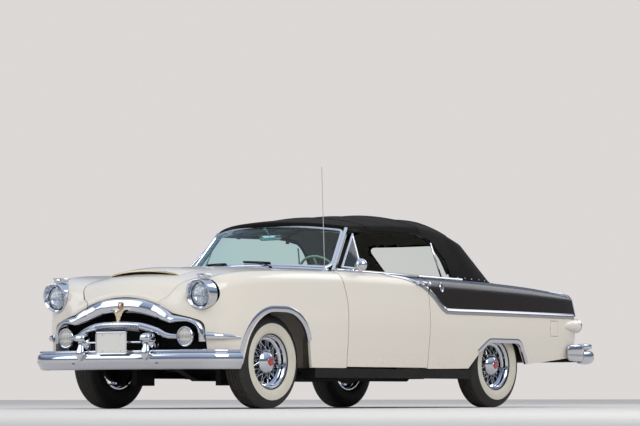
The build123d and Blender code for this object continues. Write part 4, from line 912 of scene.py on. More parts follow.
def arch_lip(side_name, hand):
    """Bright lips round the wheel openings, rolled in over the edge of the panel."""
    for name, corners, radii, shift, out, width, floor_up in (
        ("front", FRONT_ARCH, (0.0, 0.320, 0.320, 0.0), 0.0, 21.0, 0.046, 338),
        ("rear", REAR_ARCH, (0.0, 0.060, 0.110, 0.110, 0.060, 0.0), -3099, 19.0, 0.040, 378),
    ):
        flip_x = -1.0 if name == "rear" else 1.0
        line = rounded_line([Vector((flip_x * a / 1000 + shift / 1000, 0, z / 1000)) for a, z in corners],
            radii, 14)
        line = dense(line, 0.03)
        middle = Vector((shift / 1000, 0, 0.36))
        places = []
        for a, b, c in zip(line, line[1:], line[2:]):
            way = (c - a).normalized()
            side = Vector((-way.z, 0, way.x))
            side = side if side.dot(b - middle) > 0 else -side
            spot = b + side * (out / 1000)
            if spot.z * 1000 > (455 if name == "rear" and spot.x > shift / 1000 else floor_up):
                places.append((spot.x * 1000, spot.z * 1000))
        points, ups = on_side(places, hand)
        half = width / 2
        section = [(-half, -0.004), (-half, 0.0035), (-half * 0.7, 0.0060), (0, 0.0070),
                   (half * 0.72, 0.0060), (half, 0.0028), (half, -0.014)]
        if (points[-1] - points[0]).cross(ups[0]).z * hand > 0:
            section = [(-a, b) for a, b in reversed(section)]
        moulding(f"arch_lip_{name}_{side_name}", points, evened(ups, 4), section, plating, "root")


both_sides(arch_lip)


def cowl_corner(side_name, hand):
    """The panel that closes the corner between the cowl, the front fender and the door."""
    front, rear, inner, outer = -711, -889, 632.5, 828
    spots = [(front + (rear - front) * r / 8, inner + (outer - inner) * c / 8)
             for r in range(9) for c in range(9)]
    sheets = [[car(x, hand * y, 1066.5 + (y - 640) * 0.0605 + (-700 - x) * 0.015 - sunk) for x, y in spots]
              for sunk in (0.6, 4.6)]
    trim(f"cowl_corner_{side_name}", plate(*sheets, 9), 40, "root", paint["cream"], "body_paint")


both_sides(cowl_corner)


def lamp_spear(side_name, hand):
    """The pointed spear that runs from the parking lamp round to the wheel opening."""
    places = [(708 - 270 * t, 553 - 17 * t) for t in shares(18)]
    points, ups = on_side(places, hand)
    scale = [((1 - 0.72 * n / (len(points) - 1)), (1 - 0.75 * (n / (len(points) - 1)) ** 1.4))
             for n in range(len(points))]
    section = mm((-29, -12), (-29, 6), (-22, 21), (0, 32), (22, 25), (29, 6), (29, -12))
    moulding(f"lamp_spear_{side_name}", points, evened(ups, 5), section, plating, "root", scale=scale)


both_sides(lamp_spear)


def belt_rail(side_name, hand):
    """The bright rail along the top of the door and the quarter."""
    for part, body, first, last in (("door", f"door_{side_name}", -872, -1982),
            ("quarter", "root", -1998, -2640)):
        path, ups = [], []
        for n in range(25):
            ahead = first + (last - first) * n / 24
            t = (ahead + 860) / -1740
            path.append(car(ahead, hand * (831 - 6 * t), 1092 - 24.0 * t))
            ups.append(Vector((0, hand * 0.35, 1)).normalized())
        section = mm((-14, -16), (-14, 6), (-10, 12), (0, 14.5), (10, 12), (14.5, 4), (14.5, -16))
        moulding(f"belt_rail_{part}_{side_name}", path, ups, section, plating, body)


both_sides(belt_rail)


def door_fittings(side_name, hand):
    """The door's handle with its push button and lock, and the bare oval on the quarter."""
    body = f"door_{side_name}"
    place, up = on_side([(-1915, 1010)], hand)
    place, up = place[0], up[0]
    grip = [place + AHEAD * (0.085 - 0.170 * n / 16) + up * (0.012 + 0.018 * sin(pi * n / 16))
            for n in range(17)]
    scale = [(0.6 + 0.4 * sin(pi * min(n, 16 - n) / 8 / 2 + 0.4), 1.0) for n in range(17)]
    handle = swept(grip, up, oval(0.010, 0.006), False, scale)
    feet = [spun(mm((0, 0), (19, 0), (18, 6), (11, 10), (9, 20), (0, 21)), place + AHEAD * s, up, 24)
            for s in (0.078, -0.078)]
    button = spun(mm((0, 4), (14, 4), (14, 24), (11, 28), (0, 29)), place - AHEAD * 0.078, up, 28)
    trim(f"door_handle_{side_name}", joined(handle, *feet, button), 45, body)
    place, up = on_side([(-2188, 991)], hand)
    bare = spun(mm((0, 0), (36, 0), (36, 4), (32, 7), (27, 5.5), (0, 7.5)), place[0] - up[0] * 0.001, up[0],
                48)
    points = [place[0] + Vector(((p - place[0]).x * 0.78, (p - place[0]).y, (p - place[0]).z * 1.12))
              for p in bare[0]]
    trim(f"bare_oval_{side_name}", (points, bare[1]), 45)


both_sides(door_fittings)


def door_mirror():
    """The round mirror on the left door."""
    foot = Vector(car(-1060, 860, 1098))
    head = car(-1085, 915, 1138)
    stem = swept([foot, foot + Vector((0, 0.016, 0.020)), head - Vector((0, 0.012, 0.006)), head], AHEAD,
                 oval(0.0055, 0.0055))
    base = spun(mm((0, -6), (20, -6), (18, 4), (10, 10), (0, 12)), foot, (0, 0.4, 1), 28)
    shell = spun(mm((0, 30), (18, 28), (36, 20), (50, 6), (53, -4), (52, -10), (48, -11), (47, -6), (0, -6)),
                 head, (0.98, 0.17, 0.0), 48)
    trim("door_mirror", joined(stem, base, shell), 45, "door_left")


door_mirror()


# the hood's scoop, crest and the fenders' ornaments
SCOOP_HALF = 0.345


def hood_scoop():
    """A low scoop in the hood: its raised skin, the pale gold lip over its slot, and the slot's inside in
    near-black as painted shade.
    """
    columns, rows = 49, 15
    front, back = FRONT_AXLE + 0.520, FRONT_AXLE + 0.120
    top = []
    for r in range(rows):
        t = r / (rows - 1)
        for c in range(columns):
            y = SCOOP_HALF * (2 * c / (columns - 1) - 1)
            across = 1 - (y / SCOOP_HALF) ** 2
            x = front + (back - front) * t - 0.030 * (1 - across) * (1 - t)
            found = body_skin.above(x, y)
            lift = 0.030 * across**0.6 * (1 - t) ** 2 * (1 + 2 * t) + 0.0008
            top.append(found[0] + found[1] * lift)
    faces = skin_faces(rows, columns, False, False)
    lip = top[:columns]
    under = [p + Vector((-0.004, 0, -0.006)) for p in lip]
    inner = [p + Vector((-0.030, 0, -0.036)) for p in lip]
    base = len(top)
    faces += [(c, base + c, base + c + 1, c + 1) for c in range(columns - 1)]
    piece("hood_scoop", top + under, faces, paint["cream"], "hood", "body_paint")
    # the slot's inside: a near-black sheet that paints the shade in the opening
    piece("hood_scoop_slot_shade", under + inner, skin_faces(2, columns, False, False), black_and_painted_shade, "hood",
          "body_paint")
    ups = Vector((0.75, 0, 0.66))
    scale = [(max(0.35, (1 - (2 * c / (columns - 1) - 1) ** 8)), 1.0) for c in range(columns)]
    moulding("hood_scoop_lip", [p + Vector((-0.001, 0, -0.001)) for p in lip], ups, domed(0.013, 0.006), gilt,
             "hood", scale=scale)


hood_scoop()


def fender_ornament(side_name, hand):
    """The wedge that stands on the fender above the headlamp."""
    rows = []
    for t in shares(8):
        x = 0.712 - 0.165 * t
        half_top, half_foot = 0.021 * (1 - t) ** 0.7 + 0.003, 0.008 * (1 - t) + 0.002
        ground = body_skin.above(FRONT_AXLE + min(x, 0.69), hand * 0.722)
        foot = min(ground[0].z - 0.012, 0.995) if ground else 0.95
        head = 1.018 - 0.003 * t
        y = hand * 0.722
        around = ((-half_foot, foot), (-half_foot * 1.2, head - 0.020), (-half_top, head - 0.004),
                  (-half_top * 0.8, head), (half_top * 0.8, head), (half_top, head - 0.004),
                  (half_foot * 1.2, head - 0.020), (half_foot, foot))
        rows.append([Vector((FRONT_AXLE + x, y + w, z)) for w, z in around])
    trim(f"fender_ornament_{side_name}", stacked(rows), 30)


both_sides(fender_ornament)


# the front end
def ring_form(centre, profile, steps=72):
    """A ring round an axis along the car; the profile gives (radius, ahead) for each angle from the top."""
    points = []
    for n in range(steps):
        angle = 2 * pi * n / steps
        for r, ahead in profile(angle):
            points.append(centre + Vector((ahead, r * sin(angle), r * cos(angle))))
    return points, skin_faces(steps, len(profile(0.0)), True, True)


def headlamp(side_name, hand):
    """A headlamp: visored bezel, a near-black ring of painted shade inside it, bright bowl, bulb shade and
    domed glass.
    """
    centre = car(683, hand * 721, 861)

    def bezel(angle):
        front = 0.012 + 0.050 * (0.5 + 0.5 * cos(angle)) ** 0.8
        return [(0.1155, -0.055), (0.1158, front - 0.016), (0.1150, front - 0.006), (0.1120, front),
                (0.1075, front + 0.001), (0.1035, front - 0.004),
                (0.0985, front - 0.016 if front > 0.03 else front - 0.008), (0.0935, 0.004), (0.0905, 0.0),
                (0.0905, -0.050), (0.1100, -0.056)]

    trim(f"headlamp_bezel_{side_name}", ring_form(centre, bezel), 50)
    # a near-black ring at the glass's edge: painted shade under the bezel's visor
    shade = spun(mm((92.5, 4.5), (92.5, 2), (87.5, 1), (87, 3.2)), centre, (1, 0, 0), 64)
    piece(f"headlamp_shade_ring_{side_name}", *shade, black_and_painted_shade, "root", "tyre_rubber")
    bowl = spun(mm((88.5, 1), (86, -8), (74, -24), (56, -38), (34, -46), (16, -49), (0, -49.5), (0, -52.5),
        (35, -50), (60, -41), (78, -26), (89.5, -8), (89.5, 1)), centre, (1, 0, 0), 64)
    shade = spun(mm((0, -10), (14, -12), (18.5, -20), (18.5, -26), (6, -30), (5, -47), (0, -47)), centre,
                 (1, 0, 0), 32)
    bowl_piece = piece(f"headlamp_bowl_{side_name}", *joined(bowl, shade), lamp_silver, "root", "clear_glass")
    dome = spun(mm((0, 26.5), (20, 25.5), (45, 20.5), (66, 12), (80, 3.5), (88, 0), (88, -3), (78, 0),
        (64, 8.8), (44, 17.2), (20, 22.4), (0, 23.5)), centre, (1, 0, 0), 64)
    piece(f"headlamp_glass_{side_name}", *dome, fluted_glass, "root", "clear_glass")
    return bowl_piece


bowls = [headlamp("left", 1), headlamp("right", -1)]
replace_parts(bowls[0], "headlamp_rims")
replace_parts(bowls[0], "lamp_lenses")


def parking_lamp(side_name, hand):
    """A round parking lamp with its chrome shell, stepped ring and ribbed lens."""
    centre = car(717, hand * 597, 547)
    shell = spun(mm((0, -105), (30, -100), (54, -80), (70, -50), (76.5, -15), (78.5, 0), (77.5, 8),
        (73.5, 12.5), (68.5, 11.5), (66.5, 7), (64, 8.5), (61.2, 6.5), (60.5, -4), (0, -4)), centre,
        (1, 0, 0), 64)
    shell_piece = trim(f"parking_lamp_{side_name}", shell)
    profile = [(0.0602, -0.003), (0.0600, 0.004)]
    for n in range(12):
        r = 0.058 - 0.0048 * n
        profile += [(r, 0.0065 + 0.012 * (1 - (r / 0.06) ** 2)),
                    (r - 0.0024, 0.0050 + 0.012 * (1 - (r / 0.06) ** 2))]
    profile += [(0.0, 0.0165), (0.0, -0.003)]
    piece(f"parking_lens_{side_name}", *spun(profile, centre, (1, 0, 0), 56), parking_glass, "root",
          "clear_glass")
    return shell_piece


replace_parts(parking_lamp("left", 1), "parking_lamps")
parking_lamp("right", -1)

nose = Skin("grille", "hood", "front_fender_left", "front_fender_right")


def nose_at(y, z):
    """How far ahead the nose stands at a place seen from the front, in metres on the car."""
    found = nose.ahead(y / 1000, z / 1000)
    return found[0].x if found and found[0].x > FRONT_AXLE + 0.42 else None


def filled(values):
    """A list with its gaps filled from the nearest values."""
    known = [(n, v) for n, v in enumerate(values) if v is not None]
    return [min(known, key=lambda k: abs(k[0] - n))[1] if v is None else v for n, v in enumerate(values)]


ARCH_OUTER = ((0, 845), (90, 842), (167, 835), (240, 821), (307, 804), (365, 783), (418, 759), (460, 733),
              (490, 712), (550, 700), (620, 684), (665, 672), (705, 652), (735, 612), (748, 560), (750, 506))
ARCH_INNER = ((0, 727), (60, 727), (112, 725), (185, 716), (252, 701), (310, 686), (363, 670), (425, 653),
              (474, 641), (515, 647), (555, 650), (600, 653), (645, 640), (677, 621), (694, 590), (700, 506))


def arch_bulge(share):
    """How far the arch's face stands proud across its width, from its lower edge to its upper one."""
    return 0.004 + 0.026 * sin(pi * min(max(share, 0.0), 1.0) ** 0.8) ** 0.75


def grille_arch():
    """The broad bright arch over the grille, rounded across, with its humps over the parking lamps."""
    outer = smooth_line([Vector((0, y, z)) for y, z in ARCH_OUTER], 5)
    inner = smooth_line([Vector((0, y, z)) for y, z in ARCH_INNER], 5)
    depth = filled([nose_at(o.y, min(o.z, 835)) for o in outer])
    across = 12
    half_rows = []
    for n, (o, i) in enumerate(zip(outer, inner)):
        front = sum(depth[max(n - 3, 0):n + 4]) / len(depth[max(n - 3, 0):n + 4])
        row = []
        for k in range(across + 1):
            p = i.lerp(o, k / across)
            row.append(Vector((front - 0.016 + arch_bulge(k / across), p.y / 1000, p.z / 1000)))
        row.append(Vector((front - 0.045, o.y / 1000, o.z / 1000)))
        row.append(Vector((front - 0.045, i.y / 1000, i.z / 1000)))
        half_rows.append(row)
    rows = [[Vector((p.x, -p.y, p.z)) for p in row] for row in reversed(half_rows[1:])] + half_rows
    return trim("grille_arch", stacked(rows), 55)


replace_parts(grille_arch(), "grille")


def crest():
    """A bare shield with a rim, at the head of the grille's centre post."""
    outline = mm((0, 46), (9, 43), (15, 47), (21, 42), (21.5, 20), (19, -4), (12, -28), (0, -46))
    outline = outline + [(-y, z) for y, z in reversed(outline[1:-1])]
    found = nose_at(0, 768) + 0.010
    rows = []
    for size, forward in ((1.0, -0.004), (1.0, 0.008), (0.90, 0.013), (0.80, 0.010), (0.76, 0.0115),
            (0.35, 0.0155), (0.0, 0.0165)):
        rows.append([Vector((found + forward, y * size, 0.768 + z * size)) for y, z in outline])
    points = [p for row in rows for p in row]
    trim("bare_crest", (points, skin_faces(len(rows), len(outline))), material=rose_gilt)


crest()

BAR_LINE = ((0, 632), (110, 631), (215, 626), (300, 608), (372, 586), (430, 560), (480, 549), (525, 547))


def grille_bar():
    """The bar that sweeps down to the parking lamps, with ribs at its middle, and the centre post."""
    line = smooth_line([Vector((0, y, z)) for y, z in BAR_LINE], 6)
    line = [Vector((0, -p.y, p.z)) for p in reversed(line[1:])] + line
    path = [Vector((FRONT_AXLE + (0.800 - 0.075 * (abs(p.y) / 525) ** 2), p.y / 1000, p.z / 1000))
            for p in line]
    scale = [(1.0 - 0.30 * (abs(p.y) / 525) ** 2.2, 1.0 - 0.20 * (abs(p.y) / 525)) for p in line]
    parts = [swept(path, AHEAD, oval(0.031, 0.032, 20), False, scale)]
    for n in range(31):
        y = -0.214 + 0.428 * n / 30
        spot = Vector((FRONT_AXLE + 0.800 - 0.075 * (y / 0.525) ** 2, y, 0.6315 - 0.30 * y * y))
        angles = [radians(-80 + 160 * k / 10) for k in range(11)]
        rib = [spot + Vector((0.0335 * cos(a), 0, 0.0325 * sin(a))) for a in angles]
        parts.append(swept(rib, [(p - Vector((FRONT_AXLE + 0.79, y, 0.6315))).normalized() for p in rib],
            mm((-3.2, -2), (-3.2, 1), (0, 3.4), (3.2, 1), (3.2, -2))))
    trim("grille_bar", joined(*parts), 45)
    rows = []
    for z, half, out in ((0.640, 0.014, 0.006), (0.668, 0.017, 0.012), (0.700, 0.026, 0.018),
            (0.726, 0.041, 0.022), (0.746, 0.062, 0.020), (0.756, 0.085, 0.010)):
        x = FRONT_AXLE + 0.795
        angles = [radians(-90 + 18 * k) for k in range(11)]
        row = [Vector((x + out * cos(a) - 0.006 + 0.014 * (1 - abs(sin(a))), half * sin(a), z))
               for a in angles]
        rows.append(row + [Vector((x - 0.03, half, z)), Vector((x - 0.03, -half, z))])
    trim("grille_post", stacked(rows), 50, material=gilt)


grille_bar()


def mesh_behind():
    """The dark mesh behind the grille's openings: crossed wires before the radiator."""
    recipe = Recipe("crossed_wires", Count=40, Step=Vector((0, 0.018, 0)), Start=Vector((0, -0.36, 0.45)),
        End=Vector((0, -0.36, 0.72)), Thickness=0.0012)
    line = recipe.node("GeometryNodeCurvePrimitiveLine", Start=recipe["Start"], End=recipe["End"])
    circle = recipe.node("GeometryNodeCurvePrimitiveCircle", Resolution=4, Radius=recipe["Thickness"])
    wire = recipe.node("GeometryNodeCurveToMesh", Curve=line, Profile_Curve=circle, Fill_Caps=True)
    points = recipe.node("GeometryNodeMeshLine", Count=recipe["Count"], Offset=recipe["Step"])
    wires = recipe.node("GeometryNodeInstanceOnPoints", Points=points, Instance=wire)
    recipe.finish(wires, chassis_black)
    x = FRONT_AXLE + 0.640
    upright = recipe.make(Count=46, Step=Vector((0, 0.018, 0)), Start=Vector((x, -0.405, 0.47)),
        End=Vector((x, -0.405, 0.735)), Thickness=0.0012)
    level = recipe.make(Count=15, Step=Vector((0, 0, 0.018)), Start=Vector((x, -0.41, 0.475)),
        End=Vector((x, 0.41, 0.475)), Thickness=0.0012)
    black_part("grille_wires", joined(upright, level))


mesh_behind()

BUMPER_HALF, BUMPER_BEND = 1006, 760


def bumper_line(steps=16):
    """The front bumper's plan: a slow curve across the front and a tighter one round each corner."""
    half = []
    for n in range(steps + 1):
        y = BUMPER_BEND * n / steps
        half.append((868 - y * y / 7080, y))
    start, end = Vector((786.4, BUMPER_BEND, 0)), Vector((528, BUMPER_HALF, 0))
    way = Vector((-0.2147, 1.0, 0)).normalized()
    inward = Vector((-way.y, way.x, 0))
    gap = end - start
    radius = gap.length_squared / (2 * inward.dot(gap))
    centre = start + inward * radius
    sweep = (start - centre).angle(end - centre)
    for n in range(1, steps + 1):
        a = sweep * n / steps
        spoke = Matrix.Rotation(a, 3, "Z") @ (start - centre)
        half.append(tuple((centre + spoke)[:2]))
    return [(x, -y) for x, y in reversed(half[1:])] + half


BLADE = ((-58, 446), (-42, 448), (-26, 446), (-20, 441), (-19, 436), (-21, 433), (-29, 431), (-30, 427),
         (-22, 425), (-10, 415), (-3, 398), (0, 380), (0, 364), (-3, 353), (-9, 345), (-17, 330), (-27, 310),
         (-36, 301), (-48, 298), (-58, 299))


def front_bumper():
    """The blade with its ledge and groove, the two faceted guards, their bullets and the plate's rod."""
    plan = bumper_line()
    rows = []
    for n, (ahead, y) in enumerate(plan):
        before, after = plan[max(n - 1, 0)], plan[min(n + 1, len(plan) - 1)]
        way = Vector((after[0] - before[0], after[1] - before[1], 0)).normalized()
        out = Vector((way.y, -way.x, 0))
        rows.append([car(ahead + out.x * u, y + out.y * u, z) for u, z in BLADE])
    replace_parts(trim("front_bumper_blade", stacked(rows)), "front_bumper")
    for side_name, hand in SIDES:
        rows = []
        for z, half, front, back in ((366, 5, 866, 850), (380, 17, 876, 846), (400, 31, 880, 838),
                (424, 40, 881, 826), (446, 37, 876, 818), (468, 29, 868, 812), (492, 26, 862, 808),
                (512, 28, 862, 806), (516, 33, 866, 802), (519, 47, 884, 794), (526, 50, 887, 792),
                (546, 50, 886, 790), (560, 45, 879, 790), (570, 33, 864, 794), (575, 16, 845, 800)):
            middle, deep = (front + back) / 2, (front - back) / 2
            rows.append([car(middle + deep * bent(c, 0.42), hand * 326 + half * bent(s, 0.55), z)
                         for c, s in oval(1.0, 1.0, 24)])
        guard = stacked(rows)
        bullet = spun(mm((0, 62), (18, 60), (36, 52), (50, 36), (57.5, 12), (59, -12), (57, -30), (50, -40),
            (52, -46), (44, -80), (0, -80)), car(800, hand * 318, 502), (1, 0, 0), 48)
        iron = swept([car(838, hand * 415, 372), car(700, hand * 415, 372)], UP, flat_bar(0.012, 0.030))
        trim(f"bumper_guard_{side_name}", joined(guard, bullet), 32)
        black_part(f"bumper_iron_{side_name}", iron)
    rod_path = [car(846, y, 505) for y in (-270, -90, 90, 270)]
    rod = swept(rod_path, UP, oval(0.008, 0.008, 14))
    feet = [swept([car(838, y, 420), car(838, y, 560)], AHEAD, flat_bar(0.014, 0.004)) for y in (-58, 58)]
    trim("plate_rod", joined(rod, *feet))


front_bumper()


def plate_fittings():
    """The plain frame round the blank plate, and its screws."""
    frame_line = rounded_line([car(876, y, z) for y, z in ((-152, 418), (152, 418), (152, 582), (-152, 582))],
        [0.012] * 4, 6, True)
    rim = swept(frame_line, AHEAD, mm((-4, -4), (-4, 3), (0, 4.5), (4, 3), (4, -4)), True)
    screws = [spun(mm((0, 3.5), (4, 3), (6.2, 1), (6.2, -2), (0, -2)), car(874.5, y, z), (1, 0, 0), 16)
              for y in (-89, 89) for z in (439.5, 560.5)]
    trim("plate_frame", joined(rim, *screws))


plate_fittings()


# the windshield

# the windshield's edges: height at the middle, height at the corner, and how far out the corner is
SHIELD_FOOT, SHIELD_HEAD = (1134, 1102, 750), (1484, 1437, 655)


def shield_x(y, z):
    """How far ahead the windshield's glass stands, in millimetres."""
    share = (z - 1080) / 420
    middle, corner, reach = -690 - 345 * share, -957 - 331 * share, 775 - 107 * share
    return middle + (corner - middle) * (y / reach) ** 2


def shield_height(edge, y):
    """The height of the windshield's foot or head at a place across it."""
    middle, corner, reach = edge
    return middle + (corner - middle) * (y / reach) ** 2


def shield_point(y, z, back=0.0):
    return car(shield_x(y, z) - back, y, z)


def shield_normal(y, z):
    across = shield_point(y + 5, z) - shield_point(y - 5, z)
    up = shield_point(y, z + 5) - shield_point(y, z - 5)
    out = across.cross(up).normalized()
    return out if out.x > 0 else -out


def windshield():
    """The curved pane in its bright frame, with the pillars, the header and the foot moulding."""
    columns, rows = 48, 20
    sheets = []
    for back in (0.0, 4.5):
        sheet = []
        for r in range(rows + 1):
            v = r / rows
            for c in range(columns + 1):
                y = (728 - 73.0 * v) * (2 * c / columns - 1) * 0.985
                foot = shield_height(SHIELD_FOOT, y) + 8
                head = shield_height(SHIELD_HEAD, min(max(y, -655), 655)) - 8
                sheet.append(shield_point(y, foot + (head - foot) * v, back))
        sheets.append(sheet)
    pane = trim("windshield_pane", plate(*sheets, columns + 1), 40, "root", windshield_glass, "clear_glass")
    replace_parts(pane, "windshield_glass")
    corners = [Vector((0, y, shield_height(edge, y) + lift)) for edge, y, lift in (
        (SHIELD_FOOT, 720, 12), (SHIELD_HEAD, 648, -12), (SHIELD_HEAD, -648, -12), (SHIELD_FOOT, -720, 12))]
    line = []
    for n, corner in enumerate(corners):
        line.append(corner)
        after = corners[(n + 1) % 4]
        if n in (1, 3):
            edge, lift = (SHIELD_HEAD, -12) if n == 1 else (SHIELD_FOOT, 12)
            places = [corner.y + (after.y - corner.y) * k / 24 for k in range(1, 24)]
            line += [Vector((0, y, shield_height(edge, y) + lift)) for y in places]
    radii = [40.0 if p in corners else 0.0 for p in line]
    line = rounded_line(line, radii, 8, True)
    line = dense(line, 60.0, True)
    path = [shield_point(p.y, p.z) for p in line]
    ups = [shield_normal(p.y, p.z) for p in line]
    scale = []
    for p in line:
        head = min(1.0, max(0.0, (p.z - 1400) / 40.0)) if abs(p.y) < 640 else 0.0
        scale.append((1.0 - 0.25 * head, 1.0))
    section = mm((-12.5, -34), (-13, 2), (-11, 7), (-5, 9.5), (5, 9.5), (11, 7), (13, 2), (12.5, -34))
    frame_piece = trim("windshield_surround", swept(path, evened(ups, 2), section, True, scale), 45)
    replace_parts(frame_piece, "windshield_frame")
    for side_name, hand in SIDES:
        pillar = [shield_point(hand * (734 - 79 * t), 1088 + 352 * t, 24.0) for t in shares(12)]
        shape = mm((-13, -30), (-16, 0), (-13, 18), (0, 23), (13, 18), (16, 0), (13, -30))
        trim(f"pillar_{side_name}", swept(pillar, shield_normal(hand * 700, 1250), shape), 50)
    foot = [shield_point(y, shield_height(SHIELD_FOOT, y) - 6, -4.0)
            for y in [-712 + 1424 * n / 48 for n in range(49)]]
    shape = mm((-10, -12), (-12, 4), (-4, 10), (10, 7), (20, -4), (22, -12))
    trim("windshield_foot", swept(foot, shield_normal(0, 1200), shape), 50)


windshield()


def inside_mirror():
    """The inside mirror on its bracket from the header."""
    head, spot = shield_point(0, 1462, 22), car(-1092, 0, 1385)
    stem = swept([head, head.lerp(spot, 0.5) + Vector((0.006, 0, 0.004)), spot], LEFT, oval(0.006, 0.006))
    foot = spun(mm((0, 4), (16, 3), (20, -2), (20, -6), (0, -6)), head, (0.6, 0, 0.8), 28)
    outline = rounded_line([Vector((0, y, z)) for y, z in ((0.112, -0.022), (0.104, 0.026), (-0.104, 0.026),
        (-0.112, -0.022))], [0.018] * 4, 6, True)
    rows = []
    for ahead, size in ((0.016, 0.55), (0.012, 0.88), (0.004, 1.0), (-0.008, 1.0), (-0.010, 0.96)):
        rows.append([spot + Vector((ahead, p.y * size, p.z * size)) for p in outline])
    body = stacked(rows)
    trim("inside_mirror", joined(stem, foot, body), 45)


inside_mirror()


def on_glass(y, rise, off):
    """A place off the windshield, this many millimetres above its foot."""
    z = shield_height(SHIELD_FOOT, y) + rise
    return shield_point(y, z) + shield_normal(y, z) * off


def wipers():
    """The two wipers, parked along the glass's foot."""
    for number, (pivot, near, far) in enumerate(((-150, -190, -450), (290, 250, -10.0))):
        base = car(shield_x(pivot, 1118) + 34, pivot, 1112)
        boss = spun(mm((0, 26), (8, 25), (12, 18), (13, 4), (20, 0), (20, -14), (0, -14)), base,
                    (0.5, 0, 0.86), 24)
        middle = (near + far) / 2
        arm_path = [base + Vector((0.006, 0, 0.018)),
                    base.lerp(on_glass(middle, 32, 0.022), 0.5) + Vector((0.004, 0, 0.010)),
                    on_glass(middle, 30, 0.020)]
        arm = swept(arm_path, Vector((0.6, 0, 0.8)), flat_bar(0.005, 0.002), False,
                    [(1, 1), (0.9, 1), (0.7, 1)])
        blade_path, edge_path = [[on_glass(near + (far - near) * t, 22 + 10 * t, off) for t in shares(14)]
                                 for off in (0.014, 0.007)]
        blade = swept(blade_path, shield_normal(near, 1160), mm((-3, 0), (-4, 9), (4, 9), (3, 0)))
        edge = swept(edge_path, shield_normal(near, 1160), mm((-2, -5), (-3, 8), (3, 8), (2, -5)))
        trim(f"wiper_{number}", joined(boss, arm, blade), 35, material=wiper_black)
        piece(f"wiper_rubber_{number}", *edge, black_and_painted_shade, "root", "tyre_rubber")


wipers()


def shade_behind_grille():
    """A near-black sheet behind the grille: painted shade for the depth of the nose, which closes the view
    through its openings.
    """
    rows = []
    for z in (400, 470, 560, 650, 735, 770):
        rows.append([car(588 - 10 * (y / 690) ** 2, y, z) for y in [-700 + 1400 * k / 28 for k in range(29)]])
    back = [[p - Vector((0.004, 0, 0)) for p in row] for row in rows]
    piece("shade_behind_grille", *wrapped(rows + back[::-1]), black_and_painted_shade, "root", "chassis_black")


shade_behind_grille()


# the rear end
def rear_lamp(side_name, hand):
    """A tail lamp: a pod in body colour that grows out of the fender, with a bright ring and a red lens."""
    spots = ((-4085, 0, 900, 706), (-4110, 14, 900, 707), (-4160, 31, 898, 709), (-4220, 46, 894, 711),
             (-4275, 56, 890, 712), (-4315, 60, 887, 712), (-4340, 59, 886, 712), (-4347, 56, 886, 712))
    rows = []
    for x, r, y, z in spots:
        around = oval(max(r, 0.5), max(r, 0.5), 40)
        rows.append([car(x, hand * (y + a), z + b) for a, b in around])
    pod = trim(f"tail_pod_{side_name}", stacked(rows), 50, "root", paint["cream"], "body_paint")
    centre = car(-4347, hand * 886, 712)
    ring = spun(mm((58, -4), (61, 4), (60, 12), (56, 16), (51.5, 13), (50.5, 4), (50.5, -4)), centre,
                (-1, 0, 0), 56)
    trim(f"tail_ring_{side_name}", ring)
    glass_form = spun(mm((50.5, 0), (50, 10), (44, 24), (32, 34), (16, 39.5), (0, 40.5), (0, 0)), centre,
                      (-1, 0, 0), 48)
    piece(f"tail_lens_{side_name}", *glass_form, red_lens, "root", "clear_glass")
    return pod


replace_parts(rear_lamp("left", 1), "tail_lamps")
rear_lamp("right", -1)


def rounded_pod(rows, hand, steps=28, power=0.6):
    """A closed form through rounded sections: (ahead, middle, half width, middle, half height) for each."""
    rings = []
    for x, y, half_y, z, half_z in rows:
        rings.append([car(x, hand * (y + half_y * bent(c, power)), z + half_z * bent(w, power))
                      for c, w in oval(1.0, 1.0, steps)])
    return stacked(rings)


def rear_bumper():
    """The rear bumper: a convex blade between wrapped pods, each with a bullet and a ledge over it."""
    plan = [(-4630 + y * y / 14000, y) for y in [-850 + 1700 * n / 40 for n in range(41)]]
    section = ((58, 530), (40, 540), (20, 536), (4, 520), (-4, 495), (-5, 460), (0, 435), (10, 412),
               (26, 398), (44, 394), (58, 398))
    rows = [[car(x + u, y, z) for u, z in section] for x, y in plan]
    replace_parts(trim("rear_bumper_blade", stacked(rows)), "rear_bumper")
    for side_name, hand in SIDES:
        wrap = rounded_pod(((-4150, 926, 5, 474, 44), (-4160, 927, 14, 474, 60), (-4190, 928, 22, 474, 70),
            (-4260, 928, 29, 474, 74), (-4330, 922, 34, 474, 74), (-4386, 912, 34, 474, 68),
            (-4404, 905, 20, 474, 50)), hand)
        bullet = rounded_pod(((-4386, 892, 30, 442, 44), (-4398, 890, 48, 440, 58), (-4450, 886, 60, 438, 64),
            (-4525, 880, 62, 438, 64), (-4578, 876, 56, 438, 58), (-4606, 873, 38, 438, 40),
            (-4616, 872, 14, 438, 16)), hand, 32, 0.9)
        ledge = rounded_pod(((-4400, 896, 30, 528, 18), (-4414, 894, 44, 530, 26), (-4490, 886, 52, 531, 28),
            (-4556, 878, 46, 530, 26), (-4582, 874, 28, 528, 16)), hand, 28, 0.7)
        iron = swept([car(-4300, hand * 420, 430), car(-4595, hand * 420, 430)], UP, flat_bar(0.012, 0.030))
        arm = swept([car(-4210, hand * 820, 440), car(-4330, hand * 900, 455)], UP, flat_bar(0.010, 0.024))
        trim(f"rear_bumper_pod_{side_name}", joined(wrap, bullet, ledge))
        black_part(f"rear_bumper_iron_{side_name}", joined(iron, arm))


rear_bumper()


